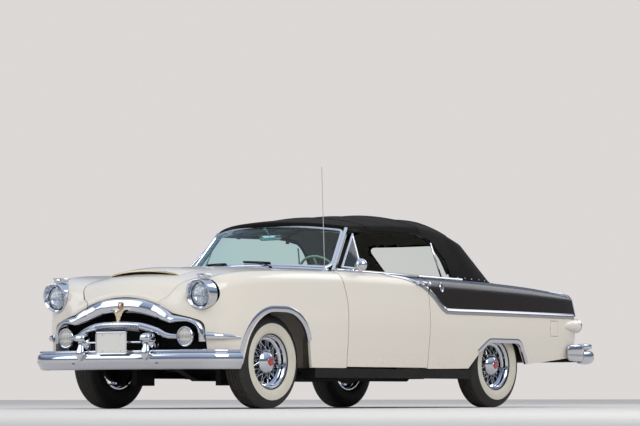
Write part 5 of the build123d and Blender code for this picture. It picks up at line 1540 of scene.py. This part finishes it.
def fin_edging(side_name, hand):
    """The bright cap that runs along the fin's tip and down its rear edge."""
    path, ups = [], []
    for n in range(15):
        d = 3990 + 310 * n / 14
        found = None
        for y in (0.846, 0.838, 0.854, 0.830):
            spot = body_skin.above(FRONT_AXLE - d / 1000, hand * y)
            if spot and (found is None or spot[0].z > found[0].z):
                found = spot
        if found:
            path.append(found[0])
            ups.append(Vector((0, 0, 1)))
    for n in range(1, 9):
        spot = body_skin.hit((FRONT_AXLE - 6.0, hand * (0.842 + 0.040 * n / 8), 0.965 - 0.170 * n / 8), AHEAD)
        if spot:
            path.append(spot[0])
            ups.append(Vector((-1, 0, 0.2)))
    path = [p for n, p in enumerate(path) if n == 0 or (p - path[n - 1]).length > 0.004]
    ups = evened(ups[:len(path)], 3)
    scale = [(min(1.0, 0.25 + n / 12), min(1.0, 0.4 + n / 12)) for n in range(len(path))]
    section = mm((-17, -10), (-18, 1), (-12, 7), (0, 10), (12, 7), (18, 1), (17, -10))
    moulding(f"fin_edging_{side_name}", path, ups, section, plating, "root", scale=scale)


both_sides(fin_edging)


def wheelhouse(side_name, hand):
    """The wheelhouse round the rear wheel, inside the quarter, in black paint darkened as painted shade."""
    rows = []
    for y, grow in ((628, 0), (880, 0), (880, 3), (625, 3), (625, -110), (628, -110)):
        r = (436 + grow) / 1000
        rows.append([Vector((REAR_AXLE + r * cos(a), hand * y / 1000, 0.372 + r * sin(a)))
                     for a in [radians(3 + 174 * k / 40) for k in range(41)]])
    black_part(f"wheelhouse_{side_name}", wrapped(rows))


both_sides(wheelhouse)


# seats and cabin
def pad_form(size, radius, segments=5):
    """A rounded block about its own middle, as mesh data."""
    form = bmesh.new()
    bmesh.ops.create_cube(form, size=1.0)
    for v in form.verts:
        v.co = Vector((v.co.x * size[0], v.co.y * size[1], v.co.z * size[2]))
    bmesh.ops.bevel(form, geom=form.edges[:], offset=radius, segments=segments, profile=0.5, affect="EDGES")
    data = bpy.data.meshes.new("pad_form")
    form.to_mesh(data)
    form.free()
    return data


FILLING_PRESSURE, FILLING_STEPS = 4.0, 20


def swollen(data, cap, voxel=0.013):
    """The pad blown up by cloth simulation under its own filling, with each point's travel capped."""
    obj = added("swelling", data)
    remesh = obj.modifiers.new("even", "REMESH")
    remesh.mode, remesh.voxel_size = "VOXEL", voxel
    depsgraph = bpy.context.evaluated_depsgraph_get()
    even = bpy.data.meshes.new_from_object(obj.evaluated_get(depsgraph), depsgraph=depsgraph)
    obj.modifiers.clear()
    obj.data = even
    cloth_modifier = obj.modifiers.new("filling", "CLOTH")
    settings = cloth_modifier.settings
    settings.use_pressure, settings.uniform_pressure_force = True, FILLING_PRESSURE
    settings.effector_weights.gravity = 0.0
    settings.quality = 4
    cloth_modifier.point_cache.frame_start, cloth_modifier.point_cache.frame_end = 1, FILLING_STEPS
    for step in range(1, FILLING_STEPS + 1):
        bpy.context.scene.frame_set(step)
    depsgraph = bpy.context.evaluated_depsgraph_get()
    blown = obj.evaluated_get(depsgraph).to_mesh()
    for before, after in zip(even.vertices, [v.co.copy() for v in blown.vertices]):
        way = after - before.co
        before.co = before.co + way * min(1.0, cap / max(way.length, 1e-9))
    obj.evaluated_get(depsgraph).to_mesh_clear()
    obj.modifiers.clear()
    bpy.context.scene.frame_set(1)
    points = [v.co.copy() for v in even.vertices]
    faces = [tuple(p.vertices) for p in even.polygons]
    bpy.data.objects.remove(obj)
    return points, faces


def seat_pad(name, size, place, lean, channels):
    """A padded seat piece: swollen, with sewn channels across its face and a piped edge."""
    points, faces = swollen(pad_form(size, min(size[2] * 0.38, 0.05)), 0.018)
    half_y, half_x = size[1] / 2, size[0] / 2
    sewn_x, sewn_y, fade = half_x - 0.055, half_y - 0.07, 0.03
    for p in points:
        if p.z > size[2] * 0.22 and abs(p.x) < sewn_x and abs(p.y) < sewn_y:
            inside = min(1.0, (sewn_x - abs(p.x)) / fade) * min(1.0, (sewn_y - abs(p.y)) / fade)
            across = (p.y / (size[1] - 0.14) + 0.5) * channels
            p.z -= 0.009 * inside * max(0.0, 1 - abs(across - round(across)) * 5.0) ** 0.6
            p.z += 0.006 * inside * sin(pi * (across % 1.0)) ** 0.5
        p.z += 0.010 * (1 - (p.y / half_y) ** 2) * (1 - (p.x / (half_x * 1.05)) ** 2) if p.z > 0 else 0.0
    turn = Matrix.Rotation(lean, 3, "Y")
    place = Vector(place)
    obj = piece(name, [place + turn @ p for p in points], faces, seat_leather, "root", "seat_leather")
    smooth = obj.modifiers.new("smooth", "SUBSURF")
    smooth.levels = smooth.render_levels = 1
    edge = rounded_line([Vector((sx * (half_x - 0.006), sy * (half_y - 0.006), size[2] * 0.30))
                         for sx, sy in ((1, -1), (1, 1), (-1, 1), (-1, -1))], [0.05] * 4, 6, True)
    piping = swept([place + turn @ p for p in edge], [turn @ Vector((0, 0, 1))] * len(edge),
        oval(0.0045, 0.0045, 8), True)
    piece(f"{name}_piping", *piping, dark_leather, "root", "seat_leather")
    return obj


def seats():
    """The two bench seats."""
    front = seat_pad("front_cushion", (0.470, 1.24, 0.150), car(-1570, 0, 565), radians(-3), 14)
    seat_pad("front_backrest", (0.440, 1.24, 0.110), car(-1858, 0, 825), radians(78), 14)
    rear = seat_pad("rear_cushion", (0.460, 1.08, 0.100), car(-2345, 0, 605), radians(-3), 12)
    seat_pad("rear_backrest", (0.350, 1.08, 0.090), car(-2612, 0, 812), radians(78), 12)
    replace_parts(front, "front_seat")
    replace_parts(rear, "rear_seat")
    for name, x0, x1, half, foot, head in (("front_seat_base", -1345, -1800, 600, 300, 492),
            ("rear_seat_base", -2125, -2590, 520, 480, 552)):
        outline = rounded_line([car(x0, y, foot) if i < 2 else car(x1, y, foot)
                                for i, y in enumerate((-half, half, half, -half))], [0.04] * 4, 5, True)
        rows = [[Vector((p.x, p.y, z)) for p in outline]
                for z in (foot / 1000, foot / 1000 + 0.008, head / 1000 - 0.006, head / 1000)]
        piece(name, *stacked(rows), dark_leather, "root", "seat_leather")
    shell = []
    for z, x in ((480, -1862), (620, -1892), (860, -1946), (1035, -1985), (1058, -1980)):
        shell.append([car(x, y, z - 8 * (abs(y) / 620) ** 6)
                      for y in [-628 + 1256 * k / 24 for k in range(25)]])
    back = [[p + Vector((0.022, 0, 0)) for p in row] for row in shell]
    piece("front_seat_shell", *wrapped(shell + back[::-1]), dark_leather, "root", "seat_leather")


seats()


def steering():
    """The cream steering wheel with its slim rim, three spokes and half horn ring."""
    whole = nodes["steering_wheel"]
    places = [whole.matrix_world @ v.co for v in whole.data.vertices]
    centre = sum(places, Vector()) / len(places)
    far = max((p - centre).length for p in places)
    rim_points = [p for p in places if (p - centre).length > far * 0.9]
    crosses = [(rim_points[0] - centre).cross(p - centre) for p in rim_points[::7]]
    way = max(crosses, key=lambda cross: cross.length).normalized()
    way = way if way.z > 0 else -way
    side = LEFT
    up = way.cross(side).normalized()
    radius = far - 0.012

    def ring(r, thick, drop, first=0.0, last=2 * pi, steps=96):
        angles = [first + (last - first) * n / steps for n in range(steps + (0 if last - first > 6.2 else 1))]
        path = [centre + (side * cos(t) + up * sin(t)) * r + way * drop for t in angles]
        return swept(path, [way] * len(path), oval(thick, thick * 0.9, 14), last - first > 6.2)

    spokes = []
    for t in (radians(-90), radians(20), radians(160)):
        out = side * cos(t) + up * sin(t)
        path = [centre + out * r + way * d for r, d in ((0.02, 0.004), (0.07, 0.004), (0.13, 0.002),
            (radius, 0.0))]
        spokes.append(swept(path, [way] * 4, oval(0.011, 0.006)))
    hub = spun(mm((0, 18), (20, 17), (34, 12), (42, 2), (40, -22), (0, -22)), centre, way, 48)
    wheel_piece = piece("steering_rim", *joined(ring(radius, 0.0105, 0.0), *spokes, hub), ivory,
        "steering_wheel", "wheel_plastic")
    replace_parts(wheel_piece, "steering_wheel")
    horn = ring(radius * 0.62, 0.0042, 0.006, radians(200), radians(340), 48)
    cap = spun(mm((0, 22.5), (16, 21.5), (26, 17), (28, 13), (0, 12)), centre, way, 40)
    trim("horn_ring", joined(horn, cap), 40, "steering_wheel")


steering()


def dashboard():
    """The dashboard's bright moulding, its dials with plain numbers left off, and its knobs."""
    face = Skin("dashboard")
    parts, dark = [], []
    for y, z, size in ((0.500, 1.020, 0.050), (0.385, 1.028, 0.036), (0.275, 1.020, 0.050),
            (-0.330, 1.010, 0.042)):
        found = face.hit((FRONT_AXLE - 1.5, y, z), (1, 0, 0))
        if found:
            parts.append(spun([(size, 0.0), (size, 0.008), (size - 0.004, 0.011), (size - 0.008, 0.008),
                (size - 0.008, 0.0)], found[0], (-1, 0, 0), 48))
            dark.append(spun([(0.0, 0.004), (size - 0.008, 0.003), (size - 0.008, 0.0), (0.0, 0.0)], found[0],
                (-1, 0, 0), 40))
    for n in range(7):
        found = face.hit((FRONT_AXLE - 1.5, -0.16 + 0.055 * n, 0.985), (1, 0, 0))
        if found:
            parts.append(spun(mm((0, 24), (10, 23), (12, 18), (8, 12), (6, 0), (0, 0)), found[0], (-1, 0, 0),
                20))
    line = []
    for n in range(41):
        found = face.hit((FRONT_AXLE - 1.5, -0.76 + 1.52 * n / 40, 1.072), (1, 0, 0))
        if found:
            line.append(found[0])
    if len(line) > 4:
        parts.append(swept(line, [Vector((-1, 0, 0))] * len(line), domed(0.012, 0.006)))
    if parts:
        trim("dash_trim", joined(*parts))
    if dark:
        piece("dial_faces", *joined(*dark), black_and_painted_shade, "root", "dash_paint")


dashboard()


# the folding top

# millimetres behind the front axle, crown, half width and height at its edge, half width at the foot
TOP_STATIONS = (
    (900, 1490, 636, 1436, 745), (1213, 1537, 655, 1461, 752), (1500, 1567, 668, 1478, 757),
    (1850, 1598, 680, 1492, 763), (2200, 1619, 684, 1498, 767), (2500, 1618, 676, 1462, 770),
    (2780, 1609, 660, 1397, 772), (3160, 1500, 630, 1290, 772), (3900, 1240, 580, 1060, 772),
)
TOP_BOWS = (1500, 1850, 2200, 2780)
# the curtain's height, place, depth, half width and half width ahead
CURTAIN = ((1000, 3700, 790, 770, 800), (1500, 3080, 460, 605, 700))
SIDE_EDGE = ((900, 1430), (1200, 1430), (1262, 1440), (2100, 1448), (2380, 1400), (2560, 1240), (2650, 900))
# the rear window's half width, its foot and head, and its corners' radius
PANE = (480, 1120, 1408, 70.0)


def between(table, at):
    """The numbers of a table at a place between its rows."""
    at = min(max(at, table[0][0]), table[-1][0])
    for low, high in zip(table, table[1:]):
        if at <= high[0]:
            t = (at - low[0]) / (high[0] - low[0])
            return [a + (b - a) * t for a, b in zip(low[1:], high[1:])]
    return list(table[-1][1:])


def in_top(d, y, z, inset):
    """How far a point, in millimetres, lies inside the stretched cloth's form; less than 0 outside."""
    crown, y_edge, z_edge, y_foot = between(TOP_STATIONS, d)
    crown, y_edge, z_edge, y_foot = crown - inset, y_edge - inset, z_edge - inset, y_foot - inset
    rise = crown - z_edge
    radius = (y_edge**2 + rise**2) / (2 * rise)
    arc = radius - hypot(y, z - (crown - radius)) if z > z_edge - 150 else 1e3
    wall = y_foot + (y_edge - y_foot) * (z - 1000) / (z_edge - 1000) - abs(y)
    t = (z - 1000) / 500
    place, depth, half, ahead = [a + (b - a) * t for a, b in zip(CURTAIN[0][1:], CURTAIN[1][1:])]
    half, ahead, depth, place = half - inset, ahead - inset, depth - inset, place - inset
    if d <= 2100:
        limit = 950
    elif d < place - depth:
        limit = ahead + (half - ahead) * (d - 2100) / (place - depth - 2100)
    elif d < place:
        limit = half * (1 - (1 - (place - d) / depth) ** 2.5) ** 0.4
    else:
        limit = -1.0
    return min(arc, wall, limit - abs(y))


def front_edge(y):
    """Where the cloth ends over the header, which is bowed."""
    return 1012 + 255 * min(abs(y) / 655, 1.15) ** 2


# behind FAN_PLACE the cloth's ribs turn about a line at FAN_HEIGHT
FAN_PLACE, FAN_HEIGHT = 2530, 800
CLOTH_THICK, LINING_DEPTH, LINING_THICK = 3.5, 17.0, 2.5


def rib_point(rib, angle, inset):
    """A point of the cloth: ribs 0 to 1 cross the roof, and past 1 they turn back by the rest in radians."""
    turn = max(rib - 1.0, 0.0)
    way = (sin(angle) * sin(turn), cos(angle), sin(angle) * cos(turn))
    low, high = 0.0, 2400
    for _ in range(24):
        far = (low + high) / 2
        y, z = way[1] * far, FAN_HEIGHT + way[2] * far
        d = FAN_PLACE + way[0] * far if rib > 1 else front_edge(y) * (1 - rib) + FAN_PLACE * rib
        if in_top(d, y, z, inset) > 0:
            low = far
        else:
            high = far
    y = way[1] * low
    d = FAN_PLACE + way[0] * low if rib > 1 else front_edge(y) * (1 - rib) + FAN_PLACE * rib
    return d, y, FAN_HEIGHT + way[2] * low


def body_height(d, y):
    """How high the body stands at a place, in millimetres."""
    found = body_skin.above(FRONT_AXLE - d / 1000, y / 1000)
    return found[0].z * 1000 if found else 900


def deck_shelf():
    """The painted deck between the foot of the folding top and the deck panel, a little below the fenders."""
    inner, front, back = 614, 3330, 3716
    rows, columns = 9, 33
    level = [body_height(back + 12.0, -inner + 2 * inner * c / (columns - 1)) for c in range(columns)]
    beside = body_height(back + 12.0, inner + 24.0)
    upper, lower = [], []
    for r in range(rows):
        d = front + (back - front) * r / (rows - 1)
        rise = body_height(d, inner + 24.0) - beside
        for c in range(columns):
            y = -inner + 2 * inner * c / (columns - 1)
            upper.append(car(-d, y, level[c] + rise - 3.0))
            lower.append(car(-d, y, level[c] + rise - 9.0))
    trim("deck_shelf", plate(upper, lower, columns), 40, "root", paint["brown"], "body_paint")


deck_shelf()


def quarter_blank():
    """The fixed blank in the right quarter, opposite the fuel door."""
    frame_places = ((-4008, 607), (-3860, 607), (-3860, 758), (-4008, 758))
    corners, ups = on_side(frame_places, -1)
    steps = 6
    sheets = []
    for sunk in (0.0010, 0.0040):
        sheet = []
        for r in range(steps + 1):
            for c in range(steps + 1):
                u, v = (10 + 128 * c / steps) / 148, (10 + 131 * r / steps) / 151
                spot = corners[0].lerp(corners[1], u).lerp(corners[3].lerp(corners[2], u), v)
                sheet.append(spot - ups[0] * sunk)
        sheets.append(sheet)
    trim("quarter_blank", plate(*sheets, steps + 1), 40, "root", paint["cream"], "body_paint")


quarter_blank()


def shown(rib, angle):
    """Whether the cloth is there: behind the side opening and above the body."""
    d, y, z = rib_point(rib, angle, 0.0)
    edge = between(SIDE_EDGE, d)[0] if d < 2650 else 0.0
    return z > edge and z > body_height(d, y * 0.985) + 3.0


def first_shown(test, low, high, steps):
    """The first place from low to high where a test holds."""
    for step in range(steps):
        if test(low + (high - low) * (step + 1) / steps):
            low, high = low + (high - low) * step / steps, low + (high - low) * (step + 1) / steps
            break
    else:
        return high
    for _ in range(12):
        middle = (low + high) / 2
        low, high = (low, middle) if test(middle) else (middle, high)
    return high


LAST_TURN = first_shown(lambda turn: not shown(1.0 + turn, pi / 2), 0.9, 1.56, 24) - 0.002
BACK_RIBS = 62
RIBS = [n / 34 for n in range(35)]
for number in range(1, BACK_RIBS + 1):
    share = number / BACK_RIBS
    RIBS.append(1.0 + 0.45 * share * LAST_TURN + 0.55 * atan2(share * tan(LAST_TURN), 1.0))
STARTS = [first_shown(lambda angle: shown(rib, angle), 0.0, pi / 2, 60) for rib in RIBS]
COLUMNS = 120


def top_grid(inset, draw_in=0.0):
    """Rows of points of the cloth, with its free edges drawn in."""
    rows = []
    for rib, start in zip(RIBS, STARTS):
        start = min(start + draw_in, pi / 2 - 0.0005)
        rows.append([rib_point(rib, start + (pi - 2 * start) * c / COLUMNS, inset)
                     for c in range(COLUMNS + 1)])
    return rows


def softened(rows, times):
    """Creases rounded as padding under cloth rounds them; the free edges stay."""
    for _ in range(times):
        old = [list(row) for row in rows]
        for r in range(len(rows) - 1):
            for c in range(1, len(rows[0]) - 1):
                rows[r][c] = tuple(old[r][c][k] * 0.5 + (old[r][c - 1][k] + old[r][c + 1][k]) * 0.25
                    for k in range(3))
    return rows


def sagged(rows):
    """The slight sag between the bows, and the pull of the cloth round the rear quarters."""
    stops = (1100, *TOP_BOWS)
    for row in rows:
        for c, (d, y, z) in enumerate(row):
            if 1100 < d < 2780:
                low = max(b for b in stops if b <= d)
                high = min(b for b in stops if b > d)
                z -= 6.0 * sin(pi * (d - low) / (high - low)) * min(1.0, max(0.0, (z - 1440) / 120))
            elif d > 2780 and z < 1480 and abs(y) > 470:
                pull = (sin(abs(y) * 0.035 + z * 0.016) * 1.8
                        * min(1.0, (abs(y) - 470) / 60.0) * min(1.0, (d - 2780) / 150))
                d, y = d + pull * 0.6, y + pull * (0.5 if y > 0 else -0.5)
            row[c] = (d, y, z)
    return rows


def pane_core(y, z):
    """The nearest point of the rear window's core, one radius inside its outline, and how far that is."""
    half, foot, head, radius = PANE
    cy, cz = min(max(y, -(half - radius)), half - radius), min(max(z, foot + radius), head - radius)
    return cy, cz, hypot(y - cy, z - cz)


def fit_pane(rows):
    """Moves the points nearest the rear window's outline on to it, so that its edge is smooth."""
    radius = PANE[3]
    for row in rows:
        for c, (d, y, z) in enumerate(row):
            if d < 2900:
                continue
            cy, cz, away = pane_core(y, z)
            if away > 1e-6 and abs(away - radius) < 12.0:
                row[c] = (d, cy + (y - cy) * radius / away, cz + (z - cz) * radius / away)
    return rows


def cloth_shell(outer, inner):
    """A closed shell from two grids, with the rear window's opening left out of both."""
    rows, columns = len(outer), len(outer[0])
    points = [car(-d, y, z) for grid in (outer, inner) for row in grid for d, y, z in row]
    base = rows * columns
    faces, edges = [], set()
    for r in range(rows - 1):
        for c in range(columns - 1):
            spots = [outer[r + i][c + j] for i in (0, 1) for j in (0, 1)]
            d, y, z = [sum(p[k] for p in spots) / 4 for k in range(3)]
            if d > 2900 and pane_core(y, z)[2] < PANE[3]:
                continue
            a, b = r * columns + c, r * columns + c + 1
            quad = (a, b, b + columns, a + columns)
            faces += [quad, tuple(base + i for i in reversed(quad))]
            edges |= set(zip(quad, quad[1:] + quad[:1]))
    faces += [(j, i, base + i, base + j) for i, j in edges if (j, i) not in edges]
    return points, faces


def drawn_in(rows, depth):
    """The same cloth a little further in, along its own normals."""
    inner = []
    for r, row in enumerate(rows):
        above, below = rows[max(r - 1, 0)], rows[min(r + 1, len(rows) - 1)]
        line = []
        for c, p in enumerate(row):
            a, b = Vector(row[max(c - 1, 0)]), Vector(row[min(c + 1, len(row) - 1)])
            u, v = Vector(above[c]), Vector(below[c])
            way = (b - a).cross(v - u)
            if way.length < 1e-6:
                way = Vector((p[0] - FAN_PLACE if p[0] > FAN_PLACE else 0.0, p[1], p[2] - FAN_HEIGHT))
            way.normalize()
            centre = Vector((min(p[0], FAN_PLACE), 0.0, FAN_HEIGHT)) - Vector(p)
            line.append(tuple(Vector(p) + way * (depth if way.dot(centre) > 0 else -depth)))
        inner.append(line)
    return inner


outer_cloth = fit_pane(sagged(softened(top_grid(0.0), 3)))
top_piece = piece("folding_top", *cloth_shell(outer_cloth, drawn_in(outer_cloth, CLOTH_THICK)), top_cloth,
    "root", "top_cloth")
sharpen(top_piece, 60)
lining_grid = drawn_in(outer_cloth, LINING_DEPTH)
lining_piece = piece("headlining", *cloth_shell(lining_grid, drawn_in(lining_grid, LINING_THICK)),
    lining_cloth, "root", "top_cloth")
sharpen(lining_piece, 60)
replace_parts(top_piece, "soft_top")


def cloth_normal(p):
    d, y, z = p
    centre = Vector((min(d, FAN_PLACE), 0.0, FAN_HEIGHT + 200))
    return (car(-d, y, z) - car(-centre.x, 0, centre.z)).normalized()


def cord_along(name, places, radius=0.0065):
    """A round binding along a line on the cloth."""
    path = [car(-d, y, z) for d, y, z in places]
    ups = evened([cloth_normal(p) for p in places], 2)
    return piece(name, *swept(path, ups, oval(radius, radius * 0.75, 10)), top_cloth, "root", "top_cloth")


left_edge = [row[0] for row in outer_cloth]
right_edge = [row[-1] for row in outer_cloth]
bindings = [cord_along("binding_left", left_edge), cord_along("binding_right", right_edge)]


def window_outline(steps=14):
    """The rear window's outline on the curtain."""
    half, foot, head, radius = PANE
    corners = [Vector((half, 0, foot)), Vector((half, 0, head)), Vector((-half, 0, head)),
               Vector((-half, 0, foot))]
    line = dense(rounded_line(corners, [radius] * 4, steps, True), 25.0, True)
    return [curtain_point(p.x, p.z) for p in line]


def curtain_point(y, z):
    """Where the curtain is at a place seen from behind."""
    low, high = 2700, 3800
    for _ in range(24):
        middle = (low + high) / 2
        low, high = (middle, high) if in_top(middle, y, z, 0.0) > 0 else (low, middle)
    return low, y, z


outline = window_outline()
path = [car(-d, y, z) for d, y, z in outline]
ups = [Vector((-1, 0, 0.35)).normalized()] * len(path)
section = mm((-11, -2), (-11, 2), (-7, 5), (0, 6), (7, 5), (11, 2), (11, -2))
window_rim = piece("rear_window_binding", *swept(path, ups, section, True), top_cloth, "root", "top_cloth")
bindings.append(window_rim)


def across_at(place, lowest):
    """The cloth's own line across the car at a distance behind the front axle."""
    line = []
    for c in range(COLUMNS + 1):
        for before, after in zip(outer_cloth, outer_cloth[1:]):
            a, b = before[c], after[c]
            if a[0] <= place < b[0]:
                t = (place - a[0]) / (b[0] - a[0])
                spot = tuple(a[k] + (b[k] - a[k]) * t for k in range(3))
                if spot[2] > lowest:
                    line.append(spot)
                break
    return line


def seam_over(name, place):
    """A flat seam across the roof over a bow."""
    places = across_at(place, 1450)
    path = [car(-d, y, z + 0.4) for d, y, z in places]
    section = mm((-12, -2), (-12, 1.2), (-10, 1.8), (10, 1.8), (12, 1.2), (12, -2))
    return piece(name, *swept(path, evened([cloth_normal(p) for p in places], 4), section), top_cloth, "root",
                 "top_cloth")


for number, place in enumerate((1500, 2200, 2780)):
    bindings.append(seam_over(f"roof_seam_{number}", place))


def header_roll():
    """The padded roll of cloth over the windshield's header."""
    path, ups = [], []
    for n in range(49):
        y = (n / 24 - 1) * 652
        share = abs(y) / 655
        d = front_edge(y)
        crown, y_edge, z_edge, _ = between(TOP_STATIONS, d)
        rise = crown - z_edge
        radius = (y_edge**2 + rise**2) / (2 * rise)
        z = crown - radius + sqrt(radius**2 - y**2)
        path.append(car(-d, y, z - 20.0))
        ups.append(Vector((0.15, 0, 1)).normalized())
    roll = mm((0, 19.5), (-12, 17), (-20, 8), (-22, -4), (-19, -14), (-12, -20), (4, -21), (12, -12),
              (14, 10))
    return trim("header_roll", swept(path, ups, [(-a, b) for a, b in roll]), 70, "root", top_cloth,
                "top_cloth")


bindings.append(header_roll())


def base_snaps(side_name, hand):
    """The row of bright snaps that holds the cloth's foot to the body."""
    edge = left_edge if hand > 0 else right_edge
    run = [p for p in edge if p[0] > 2660]
    parts, gone = [], 90.0
    for a, b in zip(run, run[1:]):
        gone += (Vector(b) - Vector(a)).length
        if gone > 105:
            gone = 0.0
            up = cloth_normal(b)
            up = Vector((up.x, up.y, 0.15)).normalized()
            parts.append(spun(mm((0, 0), (8.5, 0), (8.5, 2), (6, 4.5), (0, 5)),
                car(-b[0], b[1], b[2] + 24.0) + up * 0.0005, up, 16))
    if parts:
        piece(f"base_snaps_{side_name}", *joined(*parts), plating, "root", "chrome_trim")


both_sides(base_snaps)


def bows():
    """The steel bows under the cloth, and the struts behind the side windows."""
    parts = []
    for place in TOP_BOWS:
        places = across_at(place, 1395)
        path = [car(-d, y * 0.975, z - 30.0) for d, y, z in places]
        parts.append(swept(path, evened([cloth_normal(p) for p in places], 4), flat_bar(0.020, 0.004)))
    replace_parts(black_part("bow_rods", joined(*parts)), "top_bows")
    for side_name, hand in SIDES:
        rail = []
        for d, z in ((1255, 1418), (1700, 1425), (2080, 1430), (2330, 1398), (2500, 1265), (2590, 1110)):
            rail.append(car(-d, hand * (664 if z > 1390 else 664 + (1390 - z) * 0.20), z + 10))
        black_part(f"side_rail_{side_name}", swept(smooth_line(rail, 6), UP, oval(0.010, 0.014, 10)))
        strut = [car(-2470, hand * 738, 1088), car(-2372, hand * 694, 1372)]
        piece(f"strut_{side_name}", *swept(strut, [Vector((0, hand, 0))] * 2, flat_bar(0.007, 0.004)),
              plating, "root", "chrome_trim")


bows()


def rear_pane():
    """The clear rear window in the curtain, a little inside the cloth."""
    half, foot, head, radius = PANE
    rows, columns = 14, 40
    sheets = []
    for inset in (6.0, 8.5):
        sheet = []
        for r in range(rows + 1):
            z = foot - 12 + (head - foot + 24) * r / rows
            for c in range(columns + 1):
                y = (half + 12) * (2 * c / columns - 1)
                d = curtain_point(y, z)[0] - inset
                sheet.append(car(-d, y, z))
        sheets.append(sheet)
    trim("rear_window_pane", plate(*sheets, columns + 1), 40, "root", clear_glass, "clear_glass")


rear_pane()


# camera, floor and light
CAMERA_LENS = 164.88
CAMERA_PLACE = (19.6176, 14.6462, 0.0915)
# yaw, pitch and roll in degrees
CAMERA_TURN = (216.9127, 3.588, 0.059)


def camera():
    """The photograph's view."""
    data = bpy.data.cameras.new("camera")
    data.lens, data.sensor_width = CAMERA_LENS, 36.0
    data.clip_end = 500.0
    obj = added("camera", data)
    yaw, pitch, roll = map(radians, CAMERA_TURN)
    way = Vector((cos(yaw) * cos(pitch), sin(yaw) * cos(pitch), sin(pitch)))
    obj.location = CAMERA_PLACE
    obj.rotation_mode = "QUATERNION"
    obj.rotation_quaternion = Quaternion(way, roll) @ way.to_track_quat("-Z", "Y")
    bpy.context.scene.camera = obj


camera()


FLOOR_RADIUS, FLOOR_STEPS = 70, 96
HORIZON = (0.715, 0.69, 0.68)


def studio():
    """The pale floor, the sky that shows and lights, and three lamps."""
    scene = bpy.context.scene
    scene.view_settings.view_transform = "Standard"
    floor_finish = plain("pale_floor", (2.4, 5.0, 0.6), (0.62, 0.60, 0.585), (0.66, 0.64, 0.625), 0.7)
    data = bpy.data.meshes.new("floor_plane")
    data.from_pydata([(x, y, 0.0) for x, y in oval(FLOOR_RADIUS, FLOOR_RADIUS, FLOOR_STEPS)], [],
        [tuple(range(FLOOR_STEPS))])
    data.materials.append(floor_finish)
    added("floor_plane", data)

    world = bpy.data.worlds.new("studio")
    scene.world = world
    world.use_nodes = True
    tree = world.node_tree
    tree.nodes.clear()

    def add(kind, *links, **settings):
        node = tree.nodes.new(kind)
        for key, value in settings.items():
            setattr(node, key, value)
        for socket, source in enumerate(links):
            if source is not None:
                tree.links.new(source, node.inputs[socket])
        return node

    def sky(stops):
        """A background whose colour changes with height."""
        ramp = add("ShaderNodeValToRGB", height)
        ramp.color_ramp.elements.remove(ramp.color_ramp.elements[0])
        for n, (where, colour) in enumerate(stops):
            stop = ramp.color_ramp.elements[0] if n == 0 else ramp.color_ramp.elements.new(where)
            stop.position, stop.color = where, (*colour, 1.0)
        return add("ShaderNodeBackground", ramp.outputs[0]).outputs[0]

    place = add("ShaderNodeTexCoord")
    height = add("ShaderNodeSeparateXYZ", place.outputs["Generated"]).outputs[2]
    path = add("ShaderNodeLightPath")
    light = sky(((0.0, (0.46, 0.45, 0.44)), (0.25, (0.56, 0.56, 0.56)), (1.0, (0.78, 0.79, 0.81))))
    gloss = sky(((0.0, HORIZON), (0.055, (0.70, 0.68, 0.67)), (0.10, (0.20, 0.205, 0.22)),
                 (0.22, (0.13, 0.15, 0.19)), (0.34, (0.34, 0.43, 0.60)), (0.62, (0.50, 0.63, 0.88)),
                 (1.0, (0.84, 0.90, 1.0))))
    seen = add("ShaderNodeBackground")
    seen.inputs["Color"].default_value = (*HORIZON, 1.0)
    for_gloss = add("ShaderNodeMixShader", path.outputs["Is Glossy Ray"], light, gloss)
    for_camera = add("ShaderNodeMath", path.outputs["Is Camera Ray"], path.outputs["Is Transmission Ray"],
        operation="MAXIMUM")
    mixed = add("ShaderNodeMixShader", for_camera.outputs[0], for_gloss.outputs[0], seen.outputs[0])
    add("ShaderNodeOutputWorld", mixed.outputs[0])

    for name, place, size, power, colour in (
        ("key", (7.0, 9.0, 8.5), 7.0, 700.0, (1.0, 0.985, 0.96)),
        ("fill", (9.0, -8.0, 6.0), 7.0, 260.0, (0.96, 0.98, 1.0)),
        ("back", (-9.0, 3.0, 7.0), 6.0, 260.0, (1.0, 0.99, 0.97)),
    ):
        lamp = bpy.data.lights.new(name, "AREA")
        lamp.size, lamp.energy, lamp.color = size, power, colour
        lamp_object = added(name, lamp)
        lamp_object.location = place
        lamp_object.rotation_euler = (Vector((0, 0, 0.6)) - Vector(place)).to_track_quat("-Z", "Y").to_euler()


studio()
